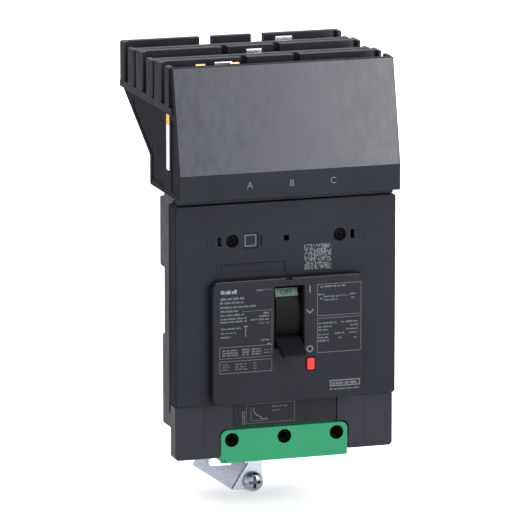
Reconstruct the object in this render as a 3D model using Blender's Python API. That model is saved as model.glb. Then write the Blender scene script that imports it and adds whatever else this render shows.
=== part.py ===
"""Three-pole plug-on molded case circuit breaker, as separate parts.

Drawing axes, in millimetres: x to the right, depth from the main cover's front plane towards
the back, height from the bottom of the lower housing. The part's own origin is on the rear
mounting pad, so depth 79 is y = 0 and height 97.5 is z = 0, in metres.
"""
import math

import bmesh
import bpy
from mathutils import Matrix, Vector

MM = 0.001
GAP = 0.3
COIL_STEPS = 10

# Where the part's origin lies in the drawing
ORIGIN_DEPTH = 79.0
ORIGIN_HEIGHT = 97.5

# Driving dimensions
MODULE_WIDTH = 114.3
POLE_PITCH = 27.0
POLES = {"left": -POLE_PITCH, "centre": 0.0, "right": POLE_PITCH}
HALF_WIDTH = MODULE_WIDTH / 2
WALL = 2.5
FRONT_WALL = 3.0

# Rear base
BASE_HALF_WIDTH = 40.5
BASE_FRONT = 12.3
BASE_REAR = 71.4
BASE_TOP = 124.6
PARTITION = 2.4
CELL_HALF_WIDTH = (POLE_PITCH - PARTITION) / 2
UPPER_PAD_REAR = 79.0
UPPER_PAD_HEIGHTS = (80.0, 115.0)
LOWER_PAD_REAR = 75.2
LOWER_PAD_HEIGHTS = (0.0, 45.6)

# Covers
COVER_REAR = 12.0
COVER_BOTTOM = 25.9
COVER_TOP = 125.1
LOWER_FRONT = 2.7
LOWER_REAR = 11.1
LOWER_HALF_WIDTH = 56.4
NOSE_HALF_WIDTH = 38.3
NOSE_HEIGHTS = (26.8, 87.8)
NOSE_FRONT = -5.0
COVER_SCREW_X = 27.5
COVER_SCREW_HEIGHT = 106.3
COVER_SCREW_HOLE = 3.1

# Plug-on end
HOOD_FRONT = -6.7
HOOD_BOTTOM = 128.3
HOOD_BREAK = 140.6
HOOD_SIDE = 56.5
COMB_HALF_WIDTH = 57.2
COMB_BOTTOM = 169.4
COMB_FLOOR = 172.7
COMB_TOP = 192.5
COMB_REAR = 91.6
SLOT_DEPTHS = {"left": 18.5, "centre": 50.0, "right": 81.5}
SLOT_HALF = 6.5
SLOT_END_HALF = 3.7
COMB_END_LENGTH = 7.0
JAW_X = {"left": -30.7, "centre": -4.5, "right": 23.0}
JAW_HALF_WIDTH = 11.1
BAR_HALF_GAP = 2.9
JAW_TOP = 190.2
JAW_BOTTOM = 169.7
CLIP_TOP = 185.0

# Operating handle, hinged about x
HANDLE_DEPTH = 24.0
HANDLE_HEIGHT = 68.3
HANDLE_REST = math.radians(-19.5)
LEVER = [(20.6, 64.3), (12.0, 59.4), (1.5, 54.2), (-2.2, 53.4), (-5.6, 53.4), (-7.5, 52.0), (-13.2, 50.1),
         (-14.8, 51.0), (-15.2, 52.6), (-14.4, 55.4), (-12.4, 56.5), (0.0, 57.8), (4.0, 59.2), (12.0, 63.6),
         (21.6, 72.4)]
LEVER_WAY = [(6.5, 56.3), (1.5, 53.8), (-2.0, 53.0), (-2.0, 58.1), (0.0, 58.2), (4.0, 59.6), (6.5, 61.0)]
SHIELD_RADIUS = 26.0
SHIELD_SPAN = math.radians(55.0)
FLAG_CENTRE = math.radians(48.7)
FLAG_SPAN = math.radians(4.6)
FLAG_HALF_WIDTH = 5.8
SPRING_HEIGHT = 77.8
CRADLE_DEPTH = 18.6
CRADLE_HEIGHT = 86.4
OPENING_HALF_WIDTH = 7.6
OPENING_HEIGHTS = (53.0, 83.5)

# Contacts
CROSSBAR_DEPTH = 46.0
CROSSBAR_HEIGHT = 84.0
ARM_LENGTH = 27.9
ARM_REST = math.radians(15.0)
FIXED_CONTACT_DEPTH = 58.6

# Tripping and terminals
TRIP_BAR_DEPTH = 27.0
TRIP_BAR_HEIGHT = 52.0
BUTTON_X = 10.8
BUTTON_HEIGHT = 44.2
LUG_HEIGHT = 6.7
LUG_COVER_HALF_WIDTH = 32.7

# Mounting bracket
TAB_DEPTH = 55.0
LEG_DEPTH = 76.6
SHEET = 2.0
MOUNT_SCREW_HEIGHT = -28.3

COLOURS = {
    "charcoal": ((0.048, 0.052, 0.062), 0.52, 0.0),
    "grey panel": ((0.165, 0.17, 0.195), 0.55, 0.0),
    "dark plastic": ((0.032, 0.034, 0.040), 0.60, 0.0),
    "green": ((0.035, 0.36, 0.155), 0.45, 0.0),
    "red": ((0.68, 0.045, 0.038), 0.40, 0.0),
    "white": ((0.75, 0.75, 0.72), 0.50, 0.0),
    "zinc": ((0.62, 0.65, 0.68), 0.30, 1.0),
    "spring steel": ((0.55, 0.56, 0.58), 0.28, 1.0),
    "copper": ((0.72, 0.34, 0.18), 0.30, 1.0),
    "dark steel": ((0.20, 0.20, 0.21), 0.42, 1.0),
    "fibre": ((0.38, 0.22, 0.12), 0.75, 0.0),
    "bimetal": ((0.60, 0.55, 0.42), 0.35, 1.0),
}


# ---------------------------------------------------------------- helpers

def drawing(x, depth, height):
    """A drawing point, in the part's own frame."""
    return Vector((x, depth - ORIGIN_DEPTH, height - ORIGIN_HEIGHT)) * MM


def clear_scene():
    for old in list(bpy.data.objects):
        bpy.data.objects.remove(old, do_unlink=True)


def material(name):
    """The named plastic or metal, made once."""
    found = bpy.data.materials.get(name)
    if found:
        return found
    colour, roughness, metallic = COLOURS[name]
    made = bpy.data.materials.new(name)
    made.use_nodes = True
    shader = made.node_tree.nodes["Principled BSDF"]
    shader.inputs["Base Color"].default_value = (*colour, 1.0)
    shader.inputs["Roughness"].default_value = roughness
    shader.inputs["Metallic"].default_value = metallic
    return made


def prism(bm, outline, low, high, axis, holes=()):
    """Extrude a closed outline, with holes, along one drawing axis.

    Outline points are the two other axes in their x, depth, height order.
    """
    def corner(point):
        values = list(point)
        values.insert(axis, low)
        return bm.verts.new(values)

    edges = []
    for loop in (outline, *holes):
        corners = [corner(point) for point in loop]
        for here, there in zip(corners, corners[1:] + corners[:1]):
            edges.append(bm.edges.new((here, there)))
    filled = bmesh.ops.triangle_fill(bm, use_beauty=True, use_dissolve=False, edges=edges)
    faces = [item for item in filled["geom"] if isinstance(item, bmesh.types.BMFace)]
    raised = bmesh.ops.extrude_face_region(bm, geom=faces)
    moved = [item for item in raised["geom"] if isinstance(item, bmesh.types.BMVert)]
    shift = Vector((0.0, 0.0, 0.0))
    shift[axis] = high - low
    bmesh.ops.translate(bm, verts=moved, vec=shift)


def box(bm, xs, depths, heights):
    prism(bm, rectangle(xs, depths), heights[0], heights[1], 2)


def rectangle(first, second):
    return [(first[0], second[0]), (first[1], second[0]), (first[1], second[1]), (first[0], second[1])]


def rounded(first, second, radius, steps=3):
    """A rectangle with round corners."""
    points = []
    corners = ((first[1], second[1], 0), (first[0], second[1], 90),
               (first[0], second[0], 180), (first[1], second[0], 270))
    for a, b, start in corners:
        centre_a = a - math.copysign(radius, a - sum(first) / 2)
        centre_b = b - math.copysign(radius, b - sum(second) / 2)
        for step in range(steps + 1):
            angle = math.radians(start + 90 * step / steps)
            points.append((centre_a + radius * math.cos(angle), centre_b + radius * math.sin(angle)))
    return points


def circle(a, b, radius, steps=16):
    angles = [2 * math.pi * step / steps for step in range(steps)]
    return [(a + radius * math.cos(angle), b + radius * math.sin(angle)) for angle in angles]


def arc(depth, height, radius, start, end, steps):
    """Points on a circle about x. Angle 0 points to the front and 90 degrees points up."""
    points = []
    for step in range(steps + 1):
        angle = start + (end - start) * step / steps
        points.append((depth - radius * math.cos(angle), height + radius * math.sin(angle)))
    return points


def ribbon(path, half):
    """The outline of a bent strip that is 2 * half thick along a path."""
    path = [Vector(point) for point in path]
    left = []
    right = []
    for index, point in enumerate(path):
        before = (point - path[index - 1]).normalized() if index else None
        after = (path[index + 1] - point).normalized() if index + 1 < len(path) else None
        along = ((before or after) + (after or before)).normalized()
        side = Vector((-along.y, along.x))
        reach = half / side.dot(Vector((-(after or before).y, (after or before).x)))
        left.append(tuple(point + side * reach))
        right.append(tuple(point - side * reach))
    return left + right[::-1]


def add_part(name, bm, finish, origin=(0.0, ORIGIN_DEPTH, ORIGIN_HEIGHT)):
    """Turn a drawn mesh into a named object whose origin is the given drawing point."""
    bmesh.ops.recalc_face_normals(bm, faces=bm.faces)
    bmesh.ops.translate(bm, verts=bm.verts, vec=-Vector(origin))
    bmesh.ops.scale(bm, verts=bm.verts, vec=(MM, MM, MM))
    mesh = bpy.data.meshes.new(name)
    bm.to_mesh(mesh)
    bm.free()
    mesh.shade_smooth()
    mesh.set_sharp_from_angle(angle=math.radians(35.0))
    mesh.materials.append(material(finish))
    part = bpy.data.objects.new(name, mesh)
    part.location = drawing(*origin)
    bpy.context.scene.collection.objects.link(part)
    return part


def combine(part, bm, operation, label):
    """Cut a part with, or join it to, another drawn mesh of closed bodies that don't meet."""
    tool = add_part(f"{part.name}_{label}", bm, "dark plastic")
    tool.hide_render = True
    tool.display_type = "WIRE"
    modifier = part.modifiers.new(label, "BOOLEAN")
    modifier.operation = operation
    modifier.solver = "EXACT"
    modifier.object = tool


def cut(part, bm, label):
    combine(part, bm, "DIFFERENCE", label)


def join(part, bm, label):
    combine(part, bm, "UNION", label)


# ---------------------------------------------------------------- case

def make_rear_base():
    bm = bmesh.new()
    box(bm, (-BASE_HALF_WIDTH, BASE_HALF_WIDTH), (BASE_FRONT, BASE_REAR), (0.0, BASE_TOP))
    base = add_part("rear_base", bm, "charcoal")

    cells = bmesh.new()
    for x in POLES.values():
        reach_left = x - CELL_HALF_WIDTH if x >= 0 else -BASE_HALF_WIDTH + WALL
        reach_right = x + CELL_HALF_WIDTH if x <= 0 else BASE_HALF_WIDTH - WALL
        box(cells, (reach_left, reach_right), (BASE_FRONT - 1, BASE_REAR - 3.0), (3.0, BASE_TOP - 3.0))
    cut(base, cells, "pole_cells")

    ways = bmesh.new()
    for x in POLES.values():
        box(ways, (x - 9.5, x + 9.5), (BASE_FRONT - 1, 40.0), (-1.0, 4.0))
        box(ways, (x - 6.0, x + 6.0), (56.6, 61.6), (BASE_TOP - 4.0, BASE_TOP + 1))
    cut(base, ways, "wire_and_line_ways")

    bar_ways = bmesh.new()
    for side in (-1, 1):
        centre = side * POLE_PITCH / 2
        reach = (centre - PARTITION, centre + PARTITION)
        box(bar_ways, reach, (BASE_FRONT - 1, 35.0), (45.0, 58.0))
        box(bar_ways, reach, (37.0, 55.0), (75.0, 93.0))
    cut(base, bar_ways, "bar_ways")

    extras = bmesh.new()
    pad_width = (-BASE_HALF_WIDTH, BASE_HALF_WIDTH)
    box(extras, pad_width, (BASE_REAR - 1.0, UPPER_PAD_REAR), UPPER_PAD_HEIGHTS)
    box(extras, pad_width, (BASE_REAR - 1.0, LOWER_PAD_REAR), LOWER_PAD_HEIGHTS)
    for side in (-1, 1):
        inner = side * (CELL_HALF_WIDTH + 1.0)
        outer = side * (BASE_HALF_WIDTH - 1.0)
        reach = (min(inner, outer), max(inner, outer))
        box(extras, reach, (BASE_FRONT, 18.0), (COVER_SCREW_HEIGHT - 3.5, COVER_SCREW_HEIGHT + 3.5))
    join(base, extras, "pads_and_bosses")

    holes = bmesh.new()
    for side in (-1, 1):
        prism(holes, circle(side * COVER_SCREW_X, COVER_SCREW_HEIGHT, 1.6 + GAP),
              BASE_FRONT - 1, 19.0, 1)
    cut(base, holes, "screw_holes")


def make_main_cover():
    bm = bmesh.new()
    nose_window = rounded((-36.6, 36.6), (28.6, 86.1), 3.0)
    prism(bm, rounded((-HALF_WIDTH, HALF_WIDTH), (COVER_BOTTOM, COVER_TOP), 1.2, 2),
          0.0, COVER_REAR, 1, [nose_window])
    cover = add_part("main_cover", bm, "charcoal")

    hollow = bmesh.new()
    inside = (-HALF_WIDTH + WALL, HALF_WIDTH - WALL)
    prism(hollow, rectangle(inside, (COVER_BOTTOM + WALL, COVER_TOP - WALL)), FRONT_WALL, COVER_REAR + 1, 1)
    cut(cover, hollow, "hollow")

    bosses = bmesh.new()
    for side in (-1, 1):
        prism(bosses, circle(side * COVER_SCREW_X, COVER_SCREW_HEIGHT, 5.0), FRONT_WALL - 0.5, COVER_REAR, 1)
    join(cover, bosses, "bosses")

    holes = bmesh.new()
    for side in (-1, 1):
        prism(holes, circle(side * COVER_SCREW_X, COVER_SCREW_HEIGHT, COVER_SCREW_HOLE), -1.0, 4.0, 1)
        slot_x = side * 34.0
        prism(holes, rectangle((slot_x - 1.0, slot_x + 1.0),
                               (COVER_SCREW_HEIGHT - 2.25, COVER_SCREW_HEIGHT + 2.25)), -1.0, 4.0, 1)
    prism(holes, rectangle((-1.35, 1.35), (COVER_SCREW_HEIGHT - 1.35, COVER_SCREW_HEIGHT + 1.35)), -1.0, 4.0, 1)
    cut(cover, holes, "holes")

    through = bmesh.new()
    for side in (-1, 1):
        prism(through, circle(side * COVER_SCREW_X, COVER_SCREW_HEIGHT, 1.6 + GAP), 1.0, COVER_REAR + 1, 1)
    cut(cover, through, "screw_ways")


def make_cover_screws():
    for name, side in (("left", -1), ("right", 1)):
        axis = (side * COVER_SCREW_X, COVER_SCREW_HEIGHT)
        bm = bmesh.new()
        prism(bm, circle(*axis, COVER_SCREW_HOLE - GAP), 1.2, 3.7, 1)
        screw = add_part(f"cover_screw_{name}", bm, "dark steel", (axis[0], 1.2, axis[1]))
        shank = bmesh.new()
        prism(shank, circle(*axis, 1.6, 12), 3.2, 17.0, 1)
        join(screw, shank, "shank")
        slot = bmesh.new()
        prism(slot, rectangle((axis[0] - 2.2, axis[0] + 2.2), (axis[1] - 0.4, axis[1] + 0.4)), 0.5, 2.4, 1)
        cut(screw, slot, "slot")


def make_lower_housing():
    chamfer = 3.5
    bm = bmesh.new()
    w = LOWER_HALF_WIDTH
    top = COVER_BOTTOM - GAP
    outline = [(-w, chamfer), (-w + chamfer, 0.0), (w - chamfer, 0.0), (w, chamfer), (w, top), (-w, top)]
    prism(bm, outline, LOWER_FRONT, LOWER_REAR, 1)
    housing = add_part("lower_housing", bm, "charcoal")

    hollow = bmesh.new()
    w -= WALL
    inner = [(-w, WALL + chamfer), (-w + chamfer, WALL), (w - chamfer, WALL), (w, WALL + chamfer),
             (w, top - WALL), (-w, top - WALL)]
    prism(hollow, inner, LOWER_FRONT + FRONT_WALL, LOWER_REAR + 1, 1)
    cut(housing, hollow, "hollow")

    recess = bmesh.new()
    prism(recess, rectangle((-26.5, 27.3), (10.0, top + 1)), LOWER_FRONT - 1, 4.5, 1)
    cut(housing, recess, "label_recess")

    window = bmesh.new()
    w = LUG_COVER_HALF_WIDTH + 0.6
    prism(window, rounded((-w, w), (-15.0, 12.5), 3.4), LOWER_FRONT - 1, LOWER_REAR + 1, 1)
    cut(housing, window, "lug_window")


def make_label_panel():
    bm = bmesh.new()
    prism(bm, rectangle((-26.2, 27.0), (12.9, COVER_BOTTOM - GAP)), 3.2, 4.2, 1)
    add_part("label_panel", bm, "dark plastic")


def make_nose_cover():
    opening = rectangle((-OPENING_HALF_WIDTH, OPENING_HALF_WIDTH), OPENING_HEIGHTS)
    button_way = rectangle((BUTTON_X - 2.2, BUTTON_X + 2.2), (BUTTON_HEIGHT - 3.2, BUTTON_HEIGHT + 3.2))
    bm = bmesh.new()
    outline = rounded((-NOSE_HALF_WIDTH, NOSE_HALF_WIDTH), NOSE_HEIGHTS, 3.5)
    prism(bm, outline, NOSE_FRONT, -GAP, 1, [opening, button_way])
    nose = add_part("nose_cover", bm, "charcoal")
    skirt = bmesh.new()
    prism(skirt, rounded((-36.2, 36.2), (29.0, 85.7), 2.6), -1.0, 2.2, 1,
          [rounded((-34.5, 34.5), (30.7, 84.2), 1.5)])
    join(nose, skirt, "skirt")
    hollow = bmesh.new()
    prism(hollow, rounded((-34.5, 34.5), (30.7, 84.2), 1.5), NOSE_FRONT + WALL, 4.0, 1)
    cut(nose, hollow, "hollow")


def make_lug_cover():
    """Green cover over the wire lugs, with a lip that runs back under them."""
    w = LUG_COVER_HALF_WIDTH
    radius = 3.0
    outline = [(-w, -3.0), (w, -3.0)]
    for side, centre_x in ((1, w - radius), (-1, -w + radius)):
        for step in range(5):
            turn = math.radians(90 * step / 4)
            turn = turn if side > 0 else math.pi / 2 + turn
            outline.append((centre_x + radius * math.cos(turn), 11.8 - radius + radius * math.sin(turn)))
    holes = [circle(x, LUG_HEIGHT, 3.45, 20) for x in POLES.values()]
    bm = bmesh.new()
    prism(bm, outline, LOWER_FRONT, LOWER_FRONT + 2.4, 1, holes)
    cover = add_part("lug_cover", bm, "green")
    lip = bmesh.new()
    box(lip, (-w, w), (LOWER_FRONT + 2.0, 17.0), (-3.0, -1.0))
    join(cover, lip, "lip")


# ---------------------------------------------------------------- plug-on end

def hood_front(height):
    """Depth of the hood's sloping front at a height above its band."""
    rise = (height - HOOD_BREAK) / (192.3 - HOOD_BREAK)
    return HOOD_FRONT + 11.35 * rise


def make_line_hood():
    """Front panel and band, side walls, a floor and a slanting back, open to the comb above."""
    top = COMB_BOTTOM - GAP
    band = [(HOOD_FRONT, HOOD_BOTTOM), (HOOD_FRONT + 3.4, HOOD_BOTTOM), (HOOD_FRONT + 3.4, HOOD_BREAK),
            (hood_front(192.3) + 3.2, 192.3), (hood_front(192.3), 192.3), (HOOD_FRONT, HOOD_BREAK)]
    bm = bmesh.new()
    prism(bm, band, -HALF_WIDTH, HALF_WIDTH, 0)
    hood = add_part("line_hood", bm, "charcoal")

    shell = bmesh.new()
    outline = [(HOOD_FRONT + 1.0, HOOD_BOTTOM), (44.6, HOOD_BOTTOM), (44.6, 143.0), (COMB_REAR - 0.6, top),
               (hood_front(top) + 1.0, top), (HOOD_FRONT + 1.0, HOOD_BREAK)]
    prism(shell, outline, -HOOD_SIDE, HOOD_SIDE, 0)
    join(hood, shell, "shell")

    neck = bmesh.new()
    prism(neck, [(40.0, BASE_TOP + GAP), (BASE_REAR, BASE_TOP + GAP), (BASE_REAR, 160.0), (40.0, 142.0)],
          -BASE_HALF_WIDTH, BASE_HALF_WIDTH, 0)
    join(hood, neck, "neck")

    inside = bmesh.new()
    w = HOOD_SIDE - WALL
    outline = [(HOOD_FRONT + 3.4, HOOD_BOTTOM + 3.0), (41.6, HOOD_BOTTOM + 3.0), (41.6, 144.9),
               (85.5, top - 0.1), (85.5, top + 2.0), (hood_front(top) + 3.4, top + 2.0),
               (HOOD_FRONT + 3.4, HOOD_BREAK)]
    prism(inside, outline, -w, w, 0)
    cut(hood, inside, "inside")

    neck_inside = bmesh.new()
    outline = [(30.0, BASE_TOP + 4.5), (BASE_REAR - 3.0, BASE_TOP + 4.5), (BASE_REAR - 3.0, 162.0), (30.0, 146.0)]
    prism(neck_inside, outline, -BASE_HALF_WIDTH + 3.0, BASE_HALF_WIDTH - 3.0, 0)
    cut(hood, neck_inside, "neck_inside")

    ways = bmesh.new()
    for x in POLES.values():
        box(ways, (x - 6.0, x + 6.0), (56.6, 61.6), (BASE_TOP - 1.0, BASE_TOP + 6.0))
    cut(hood, ways, "line_ways")


def comb_plate(middle, ends):
    """Plan outline of one comb plate, thin in the middle and wide at both ends."""
    w = COMB_HALF_WIDTH
    inner = w - COMB_END_LENGTH
    return [(-w, ends[0]), (-inner, ends[0]), (-inner, middle[0]), (inner, middle[0]), (inner, ends[0]),
            (w, ends[0]), (w, ends[1]), (inner, ends[1]), (inner, middle[1]), (-inner, middle[1]),
            (-inner, ends[1]), (-w, ends[1])]


def make_bus_comb():
    """Barrier comb whose three slots take the bus bars, with a floor under the slots."""
    bm = bmesh.new()
    front = hood_front(COMB_FLOOR) + 3.4 + GAP
    box(bm, (-COMB_HALF_WIDTH, COMB_HALF_WIDTH), (front, COMB_REAR), (COMB_BOTTOM, COMB_FLOOR))
    comb = add_part("bus_comb", bm, "dark plastic")

    thick = 4.5
    slots = list(SLOT_DEPTHS.values())
    plates = bmesh.new()
    end_reach = 10.3
    for index, slot in enumerate(slots):
        rear_middle = (slot + SLOT_HALF, min(slot + SLOT_HALF + thick, COMB_REAR))
        rear_ends = (slot + SLOT_END_HALF, min(slot + SLOT_END_HALF + end_reach, COMB_REAR))
        prism(plates, comb_plate(rear_middle, rear_ends), COMB_FLOOR - 1.0, COMB_TOP, 2)
        if index:
            front_middle = (slot - SLOT_HALF - thick, slot - SLOT_HALF)
            front_ends = (slot - SLOT_END_HALF - end_reach + 1.0, slot - SLOT_END_HALF)
            prism(plates, comb_plate(front_middle, front_ends), COMB_FLOOR - 1.0, COMB_TOP, 2)
    front_post = (hood_front(COMB_TOP) + 3.2 + GAP, slots[0] - SLOT_END_HALF)
    for side in (-1, 1):
        xs = sorted((side * COMB_HALF_WIDTH, side * (COMB_HALF_WIDTH - COMB_END_LENGTH)))
        box(plates, xs, front_post, (COMB_FLOOR - 1.0, COMB_TOP))
    join(comb, plates, "plates")

    notches = bmesh.new()
    for side in (-1, 1):
        x = side * POLE_PITCH / 2
        for slot, half in zip(slots, (1.6, 1.6, 3.3)):
            box(notches, (x - half, x + half), (slot + SLOT_HALF - 1.0, slot + SLOT_HALF + thick + 1.0),
                (COMB_TOP - 9.0, COMB_TOP + 1.0))
    cut(comb, notches, "notches")

    windows = bmesh.new()
    for pole, slot in SLOT_DEPTHS.items():
        x = JAW_X[pole]
        box(windows, (x - 12.6, x + 12.6), (slot - 6.2, slot + 6.2), (COMB_BOTTOM - 1.0, COMB_FLOOR + 0.5))
    cut(comb, windows, "jaw_windows")


LINE_PATHS = {
    "left": [(FIXED_CONTACT_DEPTH + 1, 103.0), (FIXED_CONTACT_DEPTH + 1, 136.0), (18.5, 136.0), (18.5, 169.0)],
    "centre": [(FIXED_CONTACT_DEPTH + 1, 103.0), (FIXED_CONTACT_DEPTH + 1, 142.0), (50.0, 148.0), (50.0, 169.0)],
    "right": [(FIXED_CONTACT_DEPTH + 1, 103.0), (FIXED_CONTACT_DEPTH + 1, 155.5), (76.5, 168.3), (81.0, 168.3)],
}


def make_line_conductors():
    """Copper strap from the fixed contact up to the jaw block, for each pole."""
    for pole, x in POLES.items():
        strap = bmesh.new()
        prism(strap, ribbon(LINE_PATHS[pole], 1.0), x - 4.5, x + 4.5, 0)
        conductor = add_part(f"line_conductor_{pole}", strap, "copper")
        ends = bmesh.new()
        slot = SLOT_DEPTHS[pole]
        jaw_x = JAW_X[pole]
        block = (slot - BAR_HALF_GAP + GAP, slot + BAR_HALF_GAP - GAP)
        box(ends, (jaw_x - 9.0, jaw_x + 9.0), block, (168.6, 175.0))
        box(ends, (x - 3.0, x + 3.0), (FIXED_CONTACT_DEPTH - 1.6, FIXED_CONTACT_DEPTH + 0.4), (106.5, 113.5))
        join(conductor, ends, "ends")


def make_jaws():
    """Front and rear copper fingers of each jaw, and the steel clip that squeezes them."""
    for pole, slot in SLOT_DEPTHS.items():
        x = JAW_X[pole]
        for name, side in (("front", -1), ("rear", 1)):
            inner = slot + side * BAR_HALF_GAP
            profile = [(inner, JAW_BOTTOM), (inner, 186.6), (inner + side * 1.2, JAW_TOP),
                       (inner + side * 2.6, JAW_TOP - 0.5), (inner + side * 1.6, 186.2), (inner + side * 1.6, JAW_BOTTOM)]
            bm = bmesh.new()
            prism(bm, profile, x - JAW_HALF_WIDTH, x + JAW_HALF_WIDTH, 0)
            finger = add_part(f"jaw_finger_{name}_{pole}", bm, "copper", (x, inner, JAW_BOTTOM))
            between = bmesh.new()
            box(between, (x - 6.3, x + 6.3), (slot - 8.0, slot + 8.0), (176.0, JAW_TOP + 1.0))
            cut(finger, between, "between_prongs")
        near = BAR_HALF_GAP + 1.6 + GAP
        far = near + 0.8
        left = x - JAW_HALF_WIDTH - GAP
        outline = [(left - 0.8, slot - far), (x + 7.9, slot - far), (x + 7.9, slot - near), (left, slot - near),
                   (left, slot + near), (x + 7.9, slot + near), (x + 7.9, slot + far), (left - 0.8, slot + far)]
        bm = bmesh.new()
        prism(bm, outline, COMB_FLOOR + GAP, CLIP_TOP, 2)
        clip = add_part(f"jaw_spring_{pole}", bm, "spring steel")
        bar_way = bmesh.new()
        box(bar_way, (left - 2.0, left + 0.4), (slot - 8.0, slot + 8.0), (175.8, CLIP_TOP + 1.0))
        cut(clip, bar_way, "bar_way")


# ---------------------------------------------------------------- contacts and mechanism

def make_arc_chutes():
    for pole, x in POLES.items():
        bm = bmesh.new()
        box(bm, (x - 9.8, x + 9.8), (31.0, 55.2), (97.5, 120.5))
        chute = add_part(f"arc_chute_{pole}", bm, "fibre")
        gaps = bmesh.new()
        for index in range(7):
            start = 32.2 + index * 3.2
            box(gaps, (x - 8.6, x + 8.6), (start, start + 2.0), (96.0, 122.0))
        cut(chute, gaps, "plate_gaps")
        notch = bmesh.new()
        box(notch, (x - 3.8, x + 3.8), (30.0, 56.0), (96.0, 115.5))
        cut(chute, notch, "arm_notch")


def make_crossbar():
    axis = (0.0, CROSSBAR_DEPTH, CROSSBAR_HEIGHT)
    bm = bmesh.new()
    prism(bm, circle(CROSSBAR_DEPTH, CROSSBAR_HEIGHT, 5.0), -37.4, 37.4, 0)
    bar = add_part("crossbar", bm, "dark plastic", axis)
    slots = bmesh.new()
    for x in POLES.values():
        box(slots, (x - 2.8, x + 2.8), (40.0, 52.0), (CROSSBAR_HEIGHT - 1.6, CROSSBAR_HEIGHT + 6.0))
    cut(bar, slots, "arm_slots")


def make_contact_arms():
    """Copper arms that the crossbar carries, each with a contact pad at its tip."""
    axis = (CROSSBAR_DEPTH, CROSSBAR_HEIGHT)
    for pole, x in POLES.items():
        outline = [(-3.6, 0.0), (3.6, 0.0), (2.6, 8.0), (1.9, ARM_LENGTH - 3.5), (3.4, ARM_LENGTH - 3.5),
                   (3.4, ARM_LENGTH + 2.5), (-1.6, ARM_LENGTH + 2.5), (-1.9, 8.0)]
        turned = []
        for back, up in outline:
            turned.append((axis[0] + back * math.cos(ARM_REST) - up * math.sin(ARM_REST),
                           axis[1] + back * math.sin(ARM_REST) + up * math.cos(ARM_REST)))
        bm = bmesh.new()
        prism(bm, turned, x - 2.4, x + 2.4, 0)
        add_part(f"contact_arm_{pole}", bm, "copper", (x, *axis))


def make_mechanism_frame():
    bm = bmesh.new()
    outline = [(-10.0, 57.0), (10.0, 57.0), (10.0, 90.0), (8.5, 90.0), (8.5, 58.5), (-8.5, 58.5),
               (-8.5, 90.0), (-10.0, 90.0)]
    prism(bm, outline, 14.5, 38.0, 1)
    frame = add_part("mechanism_frame", bm, "zinc")
    holes = bmesh.new()
    prism(holes, circle(HANDLE_DEPTH, HANDLE_HEIGHT, 1.8, 12), -11.0, 11.0, 0)
    prism(holes, circle(CRADLE_DEPTH, CRADLE_HEIGHT, 1.6, 12), -11.0, 11.0, 0)
    cut(frame, holes, "pin_holes")


def make_pivot_pin():
    bm = bmesh.new()
    prism(bm, circle(HANDLE_DEPTH, HANDLE_HEIGHT, 1.5, 12), -11.2, 11.2, 0)
    add_part("handle_pivot_pin", bm, "spring steel", (0.0, HANDLE_DEPTH, HANDLE_HEIGHT))


def make_handle():
    """Lever with its hub on the pivot pin, drawn at OFF."""
    axis = (HANDLE_DEPTH, HANDLE_HEIGHT)
    bm = bmesh.new()
    prism(bm, LEVER, -6.6, 6.6, 0)
    handle = add_part("handle", bm, "dark plastic", (0.0, *axis))
    hub = bmesh.new()
    prism(hub, circle(*axis, 5.2), -6.9, 6.9, 0)
    join(handle, hub, "hub")
    bore = bmesh.new()
    prism(bore, circle(*axis, 1.8, 12), -8.0, 8.0, 0)
    cut(handle, bore, "bore")


def make_handle_shield():
    """Curved shield that closes the handle opening, in one piece around the lever."""
    axis = (HANDLE_DEPTH, HANDLE_HEIGHT)
    start = HANDLE_REST - SHIELD_SPAN
    end = HANDLE_REST + SHIELD_SPAN
    outline = arc(*axis, SHIELD_RADIUS, start, end, 22) + arc(*axis, SHIELD_RADIUS - 1.4, end, start, 22)
    bm = bmesh.new()
    prism(bm, outline, -8.3, 8.3, 0)
    shield = add_part("handle_shield", bm, "dark plastic", (0.0, *axis))
    way = bmesh.new()
    prism(way, LEVER_WAY, -6.9, 6.9, 0)
    cut(shield, way, "lever_way")


def make_handle_yoke():
    """Steel plate that the lever swings, with two toggle springs pulling on its rear pin."""
    axis = (0.0, HANDLE_DEPTH, HANDLE_HEIGHT)
    plate = bmesh.new()
    box(plate, (-7.5, 7.5), (21.2, 22.6), (HANDLE_HEIGHT + 5.6, 82.0))
    add_part("handle_yoke", plate, "zinc", axis)

    pin = bmesh.new()
    prism(pin, circle(36.6, SPRING_HEIGHT, 1.2, 12), -7.5, 7.5, 0)
    add_part("toggle_pin", pin, "spring steel", axis)

    for name, side in (("left", -1), ("right", 1)):
        wire = bmesh.new()
        coil(wire, (side * 4.4, 23.3, SPRING_HEIGHT), (side * 4.4, 34.7, SPRING_HEIGHT), 1.7, 0.35, 5, 1)
        add_part(f"toggle_spring_{name}", wire, "spring steel", axis)


def make_latch_cradle():
    """Latched lever with its own pin in the frame: the trip bar lets its rear hook rise."""
    d, h = CRADLE_DEPTH, CRADLE_HEIGHT
    bm = bmesh.new()
    outline = [(d - 2.6, h - 2.0), (d + 2.6, h - 2.4), (d + 15.0, h - 1.6), (d + 16.4, h - 2.4),
               (d + 17.4, h + 1.4), (d + 8.0, h + 2.4), (d, h + 2.8), (d - 2.6, h + 1.8)]
    prism(bm, outline, -2.4, 2.4, 0)
    cradle = add_part("latch_cradle", bm, "dark steel", (0.0, d, h))
    pin = bmesh.new()
    prism(pin, circle(d, h, 1.3, 12), -9.8, 9.8, 0)
    join(cradle, pin, "pin")


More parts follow.
